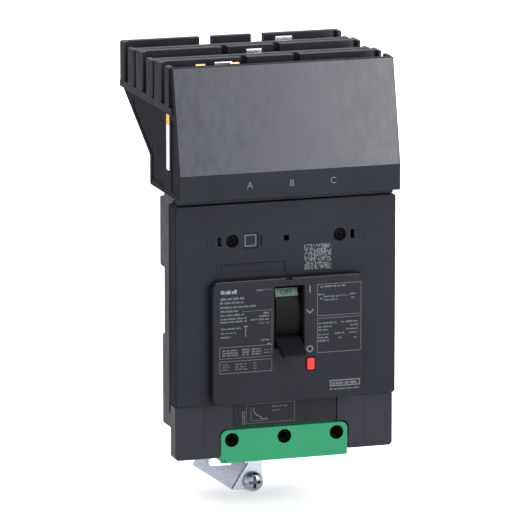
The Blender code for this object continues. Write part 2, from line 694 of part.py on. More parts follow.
def make_flags():
    """Coloured position flags on the shield: one shows at OFF, the other at ON."""
    axis = (HANDLE_DEPTH, HANDLE_HEIGHT)
    for name, finish, side in (("off_flag", "green", 1), ("on_flag", "white", -1)):
        centre = HANDLE_REST + side * FLAG_CENTRE
        inner = arc(*axis, SHIELD_RADIUS + GAP, centre + FLAG_SPAN, centre - FLAG_SPAN, 4)
        outer = arc(*axis, SHIELD_RADIUS + 0.7, centre - FLAG_SPAN, centre + FLAG_SPAN, 4)
        bm = bmesh.new()
        prism(bm, outer + inner, -FLAG_HALF_WIDTH, FLAG_HALF_WIDTH, 0)
        add_part(name, bm, finish, (0.0, *axis))


def make_trip_button():
    origin = (BUTTON_X, NOSE_FRONT - 1.0, BUTTON_HEIGHT)
    bm = bmesh.new()
    prism(bm, rectangle((BUTTON_X - 1.9, BUTTON_X + 1.9), (BUTTON_HEIGHT - 2.9, BUTTON_HEIGHT + 2.9)),
          NOSE_FRONT - 1.0, 2.0, 1)
    button = add_part("trip_button", bm, "red", origin)
    flange = bmesh.new()
    prism(flange, rectangle((8.7, 13.6), (BUTTON_HEIGHT - 3.8, BUTTON_HEIGHT + 3.8)), -2.2, -1.0, 1)
    join(button, flange, "flange")
    plunger = bmesh.new()
    prism(plunger, circle(BUTTON_X, BUTTON_HEIGHT, 1.0, 12), 1.0, 17.4, 1)
    join(button, plunger, "plunger")


def coil(bm, start, end, radius, wire, turns, axis):
    """A round wire wound about one drawing axis through two points."""
    steps = COIL_STEPS * turns
    ring_steps = 6
    rings = []
    other = [index for index in range(3) if index != axis]
    for step in range(steps + 1):
        angle = 2 * math.pi * step / COIL_STEPS
        along = start[axis] + (end[axis] - start[axis]) * step / steps
        outward = Vector((0.0, 0.0, 0.0))
        outward[other[0]] = math.cos(angle)
        outward[other[1]] = math.sin(angle)
        centre = Vector(start)
        centre[axis] = along
        forward = Vector((0.0, 0.0, 0.0))
        forward[axis] = 1.0
        ring = []
        for part_turn in range(ring_steps):
            spin = 2 * math.pi * part_turn / ring_steps
            offset = outward * (radius + wire * math.cos(spin)) + forward * wire * math.sin(spin)
            ring.append(bm.verts.new(centre + offset))
        rings.append(ring)
    for ring, following in zip(rings, rings[1:]):
        for index in range(ring_steps):
            after = (index + 1) % ring_steps
            bm.faces.new((ring[index], ring[after], following[after], following[index]))
    bm.faces.new(rings[0][::-1])
    bm.faces.new(rings[-1])


def make_button_spring():
    bm = bmesh.new()
    coil(bm, (BUTTON_X, 4.2, BUTTON_HEIGHT), (BUTTON_X, 11.2, BUTTON_HEIGHT), 2.0, 0.35, 5, 1)
    add_part("trip_button_spring", bm, "spring steel", (BUTTON_X, 4.2, BUTTON_HEIGHT))


def make_trip_bar():
    axis = (0.0, TRIP_BAR_DEPTH, TRIP_BAR_HEIGHT)
    bm = bmesh.new()
    prism(bm, circle(TRIP_BAR_DEPTH, TRIP_BAR_HEIGHT, 2.2, 12), -37.4, 37.4, 0)
    bar = add_part("trip_bar", bm, "dark plastic", axis)
    arms = bmesh.new()
    for x in POLES.values():
        box(arms, (x - 2.0, x + 2.0), (TRIP_BAR_DEPTH + 0.2, TRIP_BAR_DEPTH + 1.8), (41.0, TRIP_BAR_HEIGHT - 0.6))
    button_arm = [(18.6, 42.0), (20.2, 42.0), (20.2, 49.6), (TRIP_BAR_DEPTH, 50.6), (TRIP_BAR_DEPTH, 53.4),
                  (18.6, 51.4)]
    prism(arms, button_arm, 9.3, 12.0, 0)
    join(bar, arms, "arms")


# ---------------------------------------------------------------- load side

def make_load_side():
    """Bimetal, magnet yoke, load strap, lug and lug screw of each pole."""
    for pole, x in POLES.items():
        strap = bmesh.new()
        path = [(38.3, 2.0), (38.3, 25.0), (34.5, 25.0)]
        prism(strap, ribbon(path, 1.0), x - 5.5, x + 5.5, 0)
        add_part(f"load_strap_{pole}", strap, "copper")

        strip = bmesh.new()
        box(strip, (x - 3.0, x + 3.0), (33.0, 34.2), (18.5, 45.5))
        add_part(f"bimetal_{pole}", strip, "bimetal")

        yoke = bmesh.new()
        outline = [(x - 9.0, 28.5), (x - 7.2, 28.5), (x - 7.2, 40.2), (x + 7.2, 40.2), (x + 7.2, 28.5),
                   (x + 9.0, 28.5), (x + 9.0, 42.0), (x - 9.0, 42.0)]
        prism(yoke, outline, 27.5, 39.0, 2)
        add_part(f"magnet_yoke_{pole}", yoke, "dark steel")

        block = bmesh.new()
        prism(block, rectangle((x - 8.0, x + 8.0), (16.0, 37.0)), 0.6, 13.4, 2,
              [circle(x, 28.5, 5.6, 20)])
        lug = add_part(f"box_lug_{pole}", block, "zinc")
        thread = bmesh.new()
        prism(thread, circle(x, LUG_HEIGHT, 3.1 + GAP), 15.0, 27.0, 1)
        cut(lug, thread, "thread")

        stud = bmesh.new()
        prism(stud, circle(x, LUG_HEIGHT, 3.1), 7.0, 22.0, 1)
        screw = add_part(f"lug_screw_{pole}", stud, "dark steel", (x, 7.0, LUG_HEIGHT))
        socket = bmesh.new()
        prism(socket, circle(x, LUG_HEIGHT, 1.9, 6), 6.0, 10.5, 1)
        cut(screw, socket, "socket")


# ---------------------------------------------------------------- mounting

def make_mounting_bracket():
    """Folded zinc sheet: a rear leg, a slanting wing with a slot, and the tab with the screw hole."""
    fold_rear = ((-24.4, -21.0), (-16.2, -9.2))
    fold_front = ((-10.7, -31.2), (-2.5, -19.4))
    bm = bmesh.new()

    def at(point, depth):
        return bm.verts.new((point[0], depth, point[1]))

    rear = [at(point, LEG_DEPTH) for point in fold_rear]
    front = [at(point, TAB_DEPTH) for point in fold_front]
    leg = [at(point, LEG_DEPTH) for point in ((-10.0, -2.0), (-10.0, 40.0), (-24.4, 40.0))]
    tab = [at(point, TAB_DEPTH) for point in ((-2.5, -1.6), (5.0, -1.6), (5.0, -30.0), (3.4, -32.6),
                                             (0.0, -33.2), (-7.0, -33.2))]
    bm.faces.new([rear[0], rear[1], *leg])
    bm.faces.new([front[0], front[1], *tab])

    slot = []
    along = ((0.28, 0.28), (0.72, 0.28), (0.72, 0.62), (0.28, 0.62))
    for across, up in along:
        low = rear[0].co.lerp(front[0].co, across)
        high = rear[1].co.lerp(front[1].co, across)
        slot.append(bm.verts.new(low.lerp(high, up)))
    rim = [rear[0], front[0], front[1], rear[1]]
    for index in range(4):
        after = (index + 1) % 4
        bm.faces.new((rim[index], rim[after], slot[after], slot[index]))
    bracket = add_part("mounting_bracket", bm, "zinc")
    thickness = bracket.modifiers.new("sheet", "SOLIDIFY")
    thickness.thickness = SHEET * MM
    thickness.offset = 0.0
    thickness.use_even_offset = True
    hole = bmesh.new()
    prism(hole, circle(0.0, MOUNT_SCREW_HEIGHT, 2.7), TAB_DEPTH - 5.0, TAB_DEPTH + 5.0, 1)
    cut(bracket, hole, "screw_hole")


def make_mounting_screw():
    head_front = TAB_DEPTH - SHEET / 2 - GAP - 3.6
    bm = bmesh.new()
    prism(bm, circle(0.0, MOUNT_SCREW_HEIGHT, 5.0, 20), head_front, head_front + 3.6, 1)
    screw = add_part("mounting_screw", bm, "zinc", (0.0, head_front, MOUNT_SCREW_HEIGHT))
    shank = bmesh.new()
    prism(shank, circle(0.0, MOUNT_SCREW_HEIGHT, 2.4, 12), head_front + 3.0, head_front + 16.0, 1)
    join(screw, shank, "shank")
    for label, half in (("slot_a", (0.6, 3.0)), ("slot_b", (3.0, 0.6))):
        slot = bmesh.new()
        prism(slot, rectangle((-half[0], half[0]), (MOUNT_SCREW_HEIGHT - half[1], MOUNT_SCREW_HEIGHT + half[1])),
              head_front - 1.0, head_front + 1.8, 1)
        cut(screw, slot, label)


clear_scene()
make_rear_base()
make_main_cover()
make_cover_screws()
make_lower_housing()
make_label_panel()
make_nose_cover()
make_lug_cover()
make_line_hood()
make_bus_comb()
make_line_conductors()
make_jaws()
make_arc_chutes()
make_crossbar()
make_contact_arms()
make_mechanism_frame()
make_pivot_pin()
make_handle()
make_handle_shield()
make_handle_yoke()
make_latch_cradle()
make_flags()
make_trip_button()
make_button_spring()
make_trip_bar()
make_load_side()
make_mounting_bracket()
make_mounting_screw()
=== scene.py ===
"""Looks of the three-pole plug-on molded case circuit breaker.

Shapes are drawn in millimetres as x, depth and height: depth 0 is the main cover's front
plane and height 0 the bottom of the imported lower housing. TO_FRAME turns them into metres in
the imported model's frame.
"""
import math
import random

import bmesh
import bpy
from mathutils import Matrix, Vector


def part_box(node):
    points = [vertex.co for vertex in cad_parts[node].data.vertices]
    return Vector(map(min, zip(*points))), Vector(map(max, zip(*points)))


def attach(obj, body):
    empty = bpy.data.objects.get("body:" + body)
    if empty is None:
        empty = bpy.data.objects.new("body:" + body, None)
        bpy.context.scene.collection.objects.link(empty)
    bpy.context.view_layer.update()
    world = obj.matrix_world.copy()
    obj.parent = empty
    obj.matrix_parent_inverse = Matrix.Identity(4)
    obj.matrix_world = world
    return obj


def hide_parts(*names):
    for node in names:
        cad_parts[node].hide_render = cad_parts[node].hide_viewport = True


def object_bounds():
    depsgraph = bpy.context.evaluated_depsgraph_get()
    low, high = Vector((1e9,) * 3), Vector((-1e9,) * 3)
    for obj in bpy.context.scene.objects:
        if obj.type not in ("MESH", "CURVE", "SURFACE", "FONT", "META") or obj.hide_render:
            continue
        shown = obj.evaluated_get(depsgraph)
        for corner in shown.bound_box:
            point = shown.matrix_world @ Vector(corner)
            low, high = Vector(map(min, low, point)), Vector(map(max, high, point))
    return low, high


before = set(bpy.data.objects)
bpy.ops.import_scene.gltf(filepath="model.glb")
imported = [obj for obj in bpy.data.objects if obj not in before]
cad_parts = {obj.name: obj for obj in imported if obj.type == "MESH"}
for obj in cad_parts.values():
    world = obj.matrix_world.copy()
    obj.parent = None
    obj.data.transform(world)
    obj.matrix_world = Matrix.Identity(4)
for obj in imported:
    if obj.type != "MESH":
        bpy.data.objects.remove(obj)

CAD_LOW, CAD_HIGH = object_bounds()
MM = 0.001

COVER_LOW, COVER_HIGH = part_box("main_cover")
HOUSING_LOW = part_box("lower_housing")[0]
DATUM = Vector(((COVER_LOW.x + COVER_HIGH.x) / 2, COVER_LOW.y, HOUSING_LOW.z))
TO_FRAME = Matrix.Translation(DATUM) @ Matrix.Scale(MM, 4)

# Case: pole centres and half widths as x, fronts and rears as depths, the others as heights
POLES = {"left": -27.0, "centre": 0.0, "right": 27.0}
HALF_WIDTH = 56.4
COVER_REAR = 12.0
COVER_BOTTOM = 25.4
COVER_TOP = 125.1
NOSE_FRONT = -5.0
NOSE_TOP = 87.5
LOWER_FRONT = 2.7
PLATE_FRONT = 3.2
LOWER_REAR = 11.1
LOWER_BOTTOM = -1.9
LOWER_HALF_WIDTH = 56.0
BASE_HALF_WIDTH = 40.5
BASE_FRONT = 12.3
BASE_REAR = 71.4
COVER_SCREW_X = 27.5
SCREW_HEIGHT = 106.6
LUG_HEIGHT = 6.7

# Handle: axis and outlines as depth, height
HANDLE_AXIS = (24.0, 68.3)
HANDLE_REST = math.radians(-19.5)
FLAG_ANGLE = math.radians(44.8)
FLAG_RADIUS = 26.7
LEVER = [(20.6, 64.3), (12.0, 59.4), (1.5, 54.2), (-2.2, 53.4), (-5.6, 52.6), (-8.5, 51.2), (-13.4, 49.7),
         (-14.9, 49.7), (-15.15, 50.9), (-13.9, 51.6), (-2.6, 57.3), (0.6, 58.0), (4.0, 59.2), (12.0, 63.6),
         (21.6, 72.4)]
LEVER_ROUNDING = [0, 3, 2, 1, 1, 1.5, 0.8, 0.3, 0.3, 0.3, 0.8, 3, 4, 4, 0]
LEVER_WAY = [(6.5, 56.3), (1.5, 53.8), (-2.0, 53.0), (-2.0, 58.1), (0.0, 58.2), (4.0, 59.6), (6.5, 61.0)]

# Plug-on end: slots are the depths of the bus bars, jaws and strips are placed along x
HOOD_FRONT = -6.7
HOOD_BREAK = 141.1
HOOD_TOP = 192.3
HOOD_LEAN = 11.35
SHELL_HALF_WIDTH = 55.9
COMB_HALF_WIDTH = 57.2
COMB_INNER = 54.4
COMB_BOTTOM = 169.4
COMB_FLOOR = 172.7
COMB_TOP = 192.5
COMB_REAR = 91.6
SLOTS = {"left": 18.5, "centre": 50.0, "right": 81.5}
JAW_X = {"left": -30.7, "centre": -4.5, "right": 23.0}
STRIPS = {"left": (-31.8, -22.8), "centre": (-5.6, 2.4), "right": (19.9, 28.3)}

# Bracket: depths of its two flat ends, height of its screw
BRACKET_LEG = 76.6
BRACKET_TAB = 55.0
BRACKET_SCREW_HEIGHT = -28.3

# Prints stand INK proud of their surface and reach UNDER below it
INK = 0.06
UNDER = 0.08

# The part of a noise pattern's range that a finish uses
NOISE_LOW = 0.3
NOISE_HIGH = 0.7

# Studio, in metres, watts and radians; the camera's target is in drawing millimetres
WORLD_STRENGTH = 0.92
SUN_POWER = 2.0
SUN_ANGLE = math.radians(70.0)
SOFTBOX_PLACE = Vector((0.42, -0.74, 0.26))
SOFTBOX_TARGET = Vector((0.0, -0.06, 0.06))
SOFTBOX_SIZE = (0.35, 0.6)
SOFTBOX_POWER = 5.0
FLOOR_SIZE = 14.0
CAMERA_AZIMUTH = math.radians(17.879)
CAMERA_PITCH = math.radians(11.892)
CAMERA_DISTANCE = 2.65293
CAMERA_TARGET = (-0.534, 40.172, 87.561)
CAMERA_LENS = 371.5
SENSOR_WIDTH = 36.0

# Local outline axes (a, b) and extrusion axis c, as x, depth, height
AXES = {
    "x": Matrix(((0, 0, 1, 0), (1, 0, 0, 0), (0, 1, 0, 0), (0, 0, 0, 1))),
    "depth": Matrix(((1, 0, 0, 0), (0, 0, 1, 0), (0, 1, 0, 0), (0, 0, 0, 1))),
    "height": Matrix.Identity(4),
}


# ---- outlines

def rectangle(first, second):
    return [(first[0], second[0]), (first[1], second[0]), (first[1], second[1]), (first[0], second[1])]


def around(middle, half):
    return (middle - half, middle + half)


def span(side, first, second):
    """From first to second on one side of the middle, side being -1 or 1, lower value first."""
    return sorted((side * first, side * second))


def softened(points, radius, steps=4):
    """A closed outline with every corner rounded; radius is one number or one per corner."""
    count = len(points)
    radii = [radius] * count if isinstance(radius, (int, float)) else list(radius)
    made = []
    for index, point in enumerate(points):
        here = Vector(point)
        before = Vector(points[index - 1]) - here
        after = Vector(points[(index + 1) % count]) - here
        angle = before.angle(after)
        reach = radii[index] / math.tan(angle / 2) if radii[index] > 0 else 0.0
        reach = min(reach, before.length * 0.49, after.length * 0.49)
        if reach < 1e-4 or angle > math.radians(176):
            made.append(tuple(here))
            continue
        start = here + before.normalized() * reach
        end = here + after.normalized() * reach
        size = reach * math.tan(angle / 2)
        centre = here + (before.normalized() + after.normalized()).normalized() * size / math.sin(angle / 2)
        first = start - centre
        last = end - centre
        begin = math.atan2(first.y, first.x)
        turn = (math.atan2(last.y, last.x) - begin + math.pi) % (2 * math.pi) - math.pi
        for step in range(steps + 1):
            spot = begin + turn * step / steps
            made.append((centre.x + size * math.cos(spot), centre.y + size * math.sin(spot)))
    return made


def rounded(first, second, radius, steps=5):
    return softened(rectangle(first, second), radius, steps)


def circle(a, b, radius, steps=32):
    angles = [2 * math.pi * step / steps for step in range(steps)]
    return [(a + radius * math.cos(angle), b + radius * math.sin(angle)) for angle in angles]


def arc(centre, radius, start, end, steps):
    """Depth, height points on a circle about x. Angle 0 points to the front."""
    points = []
    for step in range(steps + 1):
        angle = start + (end - start) * step / steps
        points.append((centre[0] - radius * math.cos(angle), centre[1] + radius * math.sin(angle)))
    return points


def ribbon(path, half):
    """Outline of a strip that is 2 * half thick along a path."""
    path = [Vector(point) for point in path]
    sides = ([], [])
    for index, point in enumerate(path):
        before = (point - path[index - 1]).normalized() if index else None
        after = (path[index + 1] - point).normalized() if index + 1 < len(path) else None
        along = ((before or after) + (after or before)).normalized()
        normal = Vector((-along.y, along.x))
        reach = half / max(0.3, along.dot(before or after))
        sides[0].append(tuple(point + normal * reach))
        sides[1].append(tuple(point - normal * reach))
    return sides[0] + sides[1][::-1]


# ---- solids, in drawing millimetres

def placed(name, data):
    made = bpy.data.objects.new(name, data)
    bpy.context.scene.collection.objects.link(made)
    return made


def temporary(data):
    return placed("work", data)


def meshed(bm, name="work"):
    """The bmesh as a mesh; the bmesh is freed."""
    mesh = bpy.data.meshes.new(name)
    bm.to_mesh(mesh)
    bm.free()
    return mesh


def evaluated(obj):
    """The object's mesh with its modifiers, or its curve, applied."""
    depsgraph = bpy.context.evaluated_depsgraph_get()
    return bpy.data.meshes.new_from_object(obj.evaluated_get(depsgraph))


def cleaned(mesh, matrix=None):
    bm = bmesh.new()
    bm.from_mesh(mesh)
    if matrix is not None:
        bmesh.ops.transform(bm, matrix=matrix, verts=bm.verts)
    bmesh.ops.remove_doubles(bm, verts=bm.verts, dist=0.0015)
    bmesh.ops.dissolve_degenerate(bm, edges=bm.edges, dist=0.0005)
    bmesh.ops.recalc_face_normals(bm, faces=bm.faces)
    bm.to_mesh(mesh)
    bm.free()
    return mesh


def from_curve(curve, matrix):
    """The solid that a curve or text makes, moved by the matrix; the curve is removed."""
    holder = temporary(curve)
    mesh = evaluated(holder)
    bpy.data.objects.remove(holder)
    bpy.data.curves.remove(curve)
    return temporary(cleaned(mesh, matrix))


def extruded(outline, low, high, axis="depth", holes=(), bevel=0.25, segments=2):
    """A closed solid from an outline with holes, with rounded edges on both ends."""
    bevel = min(bevel, (high - low) / 2 - 0.01)
    curve = bpy.data.curves.new("work", "CURVE")
    curve.dimensions = "2D"
    curve.fill_mode = "BOTH"
    curve.extrude = (high - low) / 2 - bevel
    curve.bevel_depth = bevel
    curve.bevel_resolution = segments
    curve.offset = -bevel
    for loop in (outline, *holes):
        spline = curve.splines.new("POLY")
        spline.points.add(len(loop) - 1)
        spline.use_cyclic_u = True
        for target, point in zip(spline.points, loop):
            target.co = (point[0], point[1], 0.0, 1.0)
    return from_curve(curve, AXES[axis] @ Matrix.Translation((0.0, 0.0, (low + high) / 2)))


def turned(profile, centre, steps=32, axis="depth"):
    """A solid of revolution: profile is (radius, position) from axis to axis."""
    bm = bmesh.new()
    rings = []
    for radius, position in profile:
        if radius < 1e-6:
            rings.append([bm.verts.new((centre[0], centre[1], position))])
            continue
        rings.append([bm.verts.new((point[0], point[1], position))
                      for point in circle(centre[0], centre[1], radius, steps)])
    for ring, following in zip(rings, rings[1:]):
        for index in range(steps):
            after = (index + 1) % steps
            corners = [ring[index % len(ring)], ring[after % len(ring)],
                       following[after % len(following)], following[index % len(following)]]
            unique = list(dict.fromkeys(corners))
            if len(unique) > 2:
                bm.faces.new(unique)
    return temporary(cleaned(meshed(bm), AXES[axis]))


def sharp(outline, low, high, axis="depth", holes=()):
    """A solid with square edges, mostly a cutter."""
    return extruded(outline, low, high, axis, holes, bevel=0.0)


def rod(centre, radius, low, high, steps=32, axis="depth"):
    return turned([(0.0, low), (radius, low), (radius, high), (0.0, high)], centre, steps, axis)


def wide(outline, half, bevel=0.25, segments=2):
    """A solid that reaches as far to the left as to the right."""
    return extruded(outline, -half, half, "x", bevel=bevel, segments=segments)


def block(xs, depths, heights, bevel=0.2):
    return extruded(rectangle(xs, depths), heights[0], heights[1], "height", bevel=bevel)


def together(parts):
    """Several solids that don't meet, as one mesh."""
    bm = bmesh.new()
    for part in parts:
        bm.from_mesh(part.data)
        mesh = part.data
        bpy.data.objects.remove(part)
        bpy.data.meshes.remove(mesh)
    return temporary(meshed(bm))


def combined(first, second, operation):
    modifier = first.modifiers.new("work", "BOOLEAN")
    modifier.operation = operation
    modifier.solver = "EXACT"
    modifier.object = second
    mesh = evaluated(first)
    first.modifiers.clear()
    spare = [first.data, second.data]
    first.data = mesh
    bpy.data.objects.remove(second)
    for old in spare:
        bpy.data.meshes.remove(old)
    return first


def carved(first, *tools):
    for tool in tools:
        combined(first, tool, "DIFFERENCE")
    return first


def fused(first, *others):
    for other in others:
        combined(first, other, "UNION")
    return first


def clipped(first, other):
    return combined(first, other, "INTERSECT")


def piece(name, solid, finish, body="case", replaces=()):
    """Turn a finished solid into a named piece of the visual model."""
    solid.name = name
    mesh = cleaned(solid.data)
    mesh.transform(TO_FRAME)
    mesh.name = name
    mesh.materials.clear()
    mesh.materials.append(finish)
    mesh.shade_smooth()
    mesh.set_sharp_from_angle(angle=math.radians(32.0))
    weighted = solid.modifiers.new("normals", "WEIGHTED_NORMAL")
    weighted.keep_sharp = True
    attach(solid, body)
    if replaces:
        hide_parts(*replaces)
    return solid


def repaint(solid, finish, chosen):
    """A further finish for the faces that chosen(normal, spot) picks; spot is in drawing millimetres."""
    solid.data.materials.append(finish)
    for face in solid.data.polygons:
        if chosen(face.normal, (face.center - DATUM) / MM):
            face.material_index = len(solid.data.materials) - 1


# ---- finishes

class Finish:
    """A procedural material: patterns in object space drive colour, roughness and bump."""

    def __init__(self, name, metallic=0.0, specular=0.35):
        self.material = bpy.data.materials.new(name)
        self.material.use_nodes = True
        self.tree = self.material.node_tree
        self.shader = self.tree.nodes["Principled BSDF"]
        self.shader.inputs["Metallic"].default_value = metallic
        self.shader.inputs["Specular IOR Level"].default_value = specular
        self.coords = self.tree.nodes.new("ShaderNodeTexCoord").outputs["Object"]

    def added(self, kind, links, values):
        """A new node with its inputs linked to sockets or set to values."""
        node = self.tree.nodes.new(kind)
        for name, source in links.items():
            self.tree.links.new(source, node.inputs[name])
        for name, value in values.items():
            node.inputs[name].default_value = value
        return node

    def noise(self, scale, detail=3.0, stretch=(1.0, 1.0, 1.0)):
        mapping = self.added("ShaderNodeMapping", {"Vector": self.coords}, {"Scale": stretch})
        node = self.added("ShaderNodeTexNoise", {"Vector": mapping.outputs["Vector"]},
                          {"Scale": scale, "Detail": detail})
        return node.outputs["Fac"]

    def cells(self, scale):
        node = self.added("ShaderNodeTexVoronoi", {"Vector": self.coords}, {"Scale": scale})
        return node.outputs["Color"]

    def colour(self, factor, *stops):
        node = self.added("ShaderNodeValToRGB", {"Fac": factor}, {})
        ramp = node.color_ramp
        ramp.elements[0].position = NOISE_LOW
        ramp.elements[1].position = NOISE_HIGH
        for element, stop in zip(ramp.elements, (stops[0], stops[-1])):
            element.color = (*stop, 1.0)
        for index, stop in enumerate(stops[1:-1]):
            position = NOISE_LOW + (NOISE_HIGH - NOISE_LOW) * (index + 1) / (len(stops) - 1)
            ramp.elements.new(position).color = (*stop, 1.0)
        self.tree.links.new(node.outputs["Color"], self.shader.inputs["Base Color"])

    def rough(self, factor, low, high):
        node = self.added("ShaderNodeMapRange", {"Value": factor},
                          {"From Min": NOISE_LOW, "From Max": NOISE_HIGH, "To Min": low, "To Max": high})
        self.tree.links.new(node.outputs["Result"], self.shader.inputs["Roughness"])

    def bump(self, factor, strength, distance, under=None):
        links = {"Height": factor}
        if under is not None:
            links["Normal"] = under
        node = self.added("ShaderNodeBump", links, {"Strength": strength, "Distance": distance})
        return node.outputs["Normal"]

    def relief(self, normal):
        self.tree.links.new(normal, self.shader.inputs["Normal"])


def shaded(colour, share):
    return tuple(channel * share for channel in colour)


def plastic(name, colour, roughness, grain=0.22, specular=0.3, mottle=0.10):
    """Moulded plastic: spark-eroded grain, faint flow waves, uneven gloss and tone."""
    made = Finish(name, specular=specular)
    tone = made.noise(38.0, 4.0)
    made.colour(tone, shaded(colour, 1.0 - mottle), colour, shaded(colour, 1.0 + mottle))
    made.rough(made.noise(260.0, 5.0, (1.0, 1.0, 0.5)), roughness - 0.05, roughness + 0.07)
    waves = made.bump(made.noise(24.0, 2.0), 0.10, 0.0006)
    made.relief(made.bump(made.noise(3200.0, 2.0), grain, 0.00006, waves))
    return made.material


def metal(name, colour, roughness, brush=(1.0, 1.0, 1.0), spangle=0.0, tint=None):
    """Bare or plated metal with brushing or spangle, stains and uneven polish."""
    made = Finish(name, metallic=1.0, specular=0.5)
    tint = tint or shaded(colour, 0.82)
    pattern = made.cells(spangle) if spangle else made.noise(90.0, 5.0)
    made.colour(pattern, tint, colour, shaded(colour, 1.06))
    made.rough(made.noise(420.0, 4.0, brush), roughness - 0.06, roughness + 0.12)
    stains = made.bump(made.noise(70.0, 3.0), 0.12, 0.0004)
    made.relief(made.bump(made.noise(1500.0, 3.0, brush), 0.25, 0.00005, stains))
    return made.material


def printed(name, colour):
    """Pad-printed ink with slightly uneven cover."""
    made = Finish(name, specular=0.25)
    made.colour(made.noise(1800.0, 3.0), shaded(colour, 0.72), colour, shaded(colour, 1.12))
    made.rough(made.noise(900.0, 2.0), 0.45, 0.65)
    made.relief(made.bump(made.noise(3500.0, 2.0), 0.2, 0.00004))
    return made.material


CHARCOAL = plastic("charcoal_plastic", (0.0105, 0.0113, 0.0165), 0.50, specular=0.12)
# Painted light: a lighter copy of the charcoal for the lower housing, standing in for the light that falls
# on it
CHARCOAL_LIT_LOWER = plastic("charcoal_plastic_lower_lit", (0.0145, 0.0148, 0.0210), 0.50, specular=0.16)
# Painted shade: a slightly darker copy of the charcoal, used on the nose cover and the icon tile
CHARCOAL_SHADED = plastic("charcoal_plastic_shaded", (0.0098, 0.0104, 0.0150), 0.46, specular=0.12)
# Painted highlight: a light grey for the nose's top chamfer, standing in for the bright line of light along
# that edge
NOSE_RIM_HIGHLIGHT = plastic("nose_rim_painted_highlight", (0.095, 0.098, 0.110), 0.35, grain=0.10, specular=0.30)
# Painted reflection: a lighter grey for the hood's sloping face, standing in for the sheen of the studio
# light on top of its own gloss
SLOPE_REFLECTION_GREY = plastic("hood_slope_painted_reflection", (0.030, 0.031, 0.042), 0.26, grain=0.12, specular=0.42)
# Painted shade: a darker, duller charcoal for side faces that stand in shade
SIDE_SHADE_DARK = plastic("painted_side_shade", (0.008, 0.008, 0.011), 0.70, specular=0.04)
COMB_END = plastic("comb_end_plastic", (0.010, 0.011, 0.016), 0.60, specular=0.06)
COMB_DARK = plastic("comb_plastic", (0.0085, 0.0095, 0.0145), 0.40, specular=0.32)
LABEL_DARK = plastic("label_plate", (0.0085, 0.0088, 0.0120), 0.55, grain=0.12, specular=0.15)
HANDLE_BLACK = plastic("handle_plastic", (0.0045, 0.0045, 0.0060), 0.50, specular=0.12)
SHIELD_BROWN = plastic("shield_plastic", (0.0036, 0.0028, 0.0028), 0.40, specular=0.07)
# Painted shade: near black for the screws sunk in holes and for the walls of the lug holes, standing in for
# the shade inside them
HOLE_SHADE_BLACK = plastic("painted_hole_shade", (0.0024, 0.0022, 0.0022), 0.55, specular=0.05)
GREEN = plastic("green_plastic", (0.009, 0.180, 0.078), 0.42, grain=0.15, specular=0.25, mottle=0.05)
FLAG_GREEN = plastic("flag_green", (0.062, 0.118, 0.085), 0.50, mottle=0.08)
FLAG_WHITE = plastic("flag_white", (0.62, 0.62, 0.58), 0.50, mottle=0.04)
RED = plastic("button_plastic", (0.50, 0.022, 0.020), 0.36, grain=0.10, specular=0.25, mottle=0.05)
FIBRE = plastic("arc_fibre", (0.22, 0.13, 0.075), 0.72, grain=0.6, mottle=0.22)
ZINC = metal("zinc_plate", (0.55, 0.57, 0.64), 0.34, spangle=900.0, tint=(0.51, 0.53, 0.60))
SCREW_ZINC = metal("zinc_screw", (0.34, 0.36, 0.40), 0.20, tint=(0.25, 0.27, 0.32))
BRIGHT = metal("spring_steel", (0.66, 0.67, 0.69), 0.26, brush=(0.2, 1.0, 1.0))
# Dark steel of the latch cradle and magnet yoke; the same colour is painted into the cross of the mounting
# screw as shade
DARK_STEEL_AND_RECESS_SHADE = metal("blackened_steel_and_recess_shade", (0.12, 0.12, 0.13), 0.42)
COPPER = metal("plated_copper", (0.78, 0.50, 0.24), 0.30, brush=(1.0, 1.0, 0.25), tint=(0.60, 0.34, 0.16))
SILVERED = metal("silvered_copper", (0.80, 0.79, 0.76), 0.28, brush=(1.0, 1.0, 0.25),
                 tint=(0.66, 0.62, 0.56))
BIMETAL = metal("bimetal_strip", (0.55, 0.49, 0.38), 0.36, brush=(1.0, 1.0, 0.2))
INK_LIGHT = printed("light_ink", (0.21, 0.22, 0.24))
INK_MID = printed("grey_ink", (0.105, 0.11, 0.122))
INK_FAINT = printed("faint_ink", (0.070, 0.072, 0.080))
LABEL_WHITE = printed("white_label", (0.66, 0.66, 0.70))
LABEL_YELLOW = printed("yellow_label", (0.72, 0.42, 0.045))


# ---- covers

def cone(x, height, radius, depth):
    """Cutter for a round hole whose rim is slightly countersunk."""
    profile = [(0.0, -1.5), (radius + 1.8, -1.5), (radius, 0.35), (radius, depth), (0.0, depth)]
    return turned(profile, (x, height))


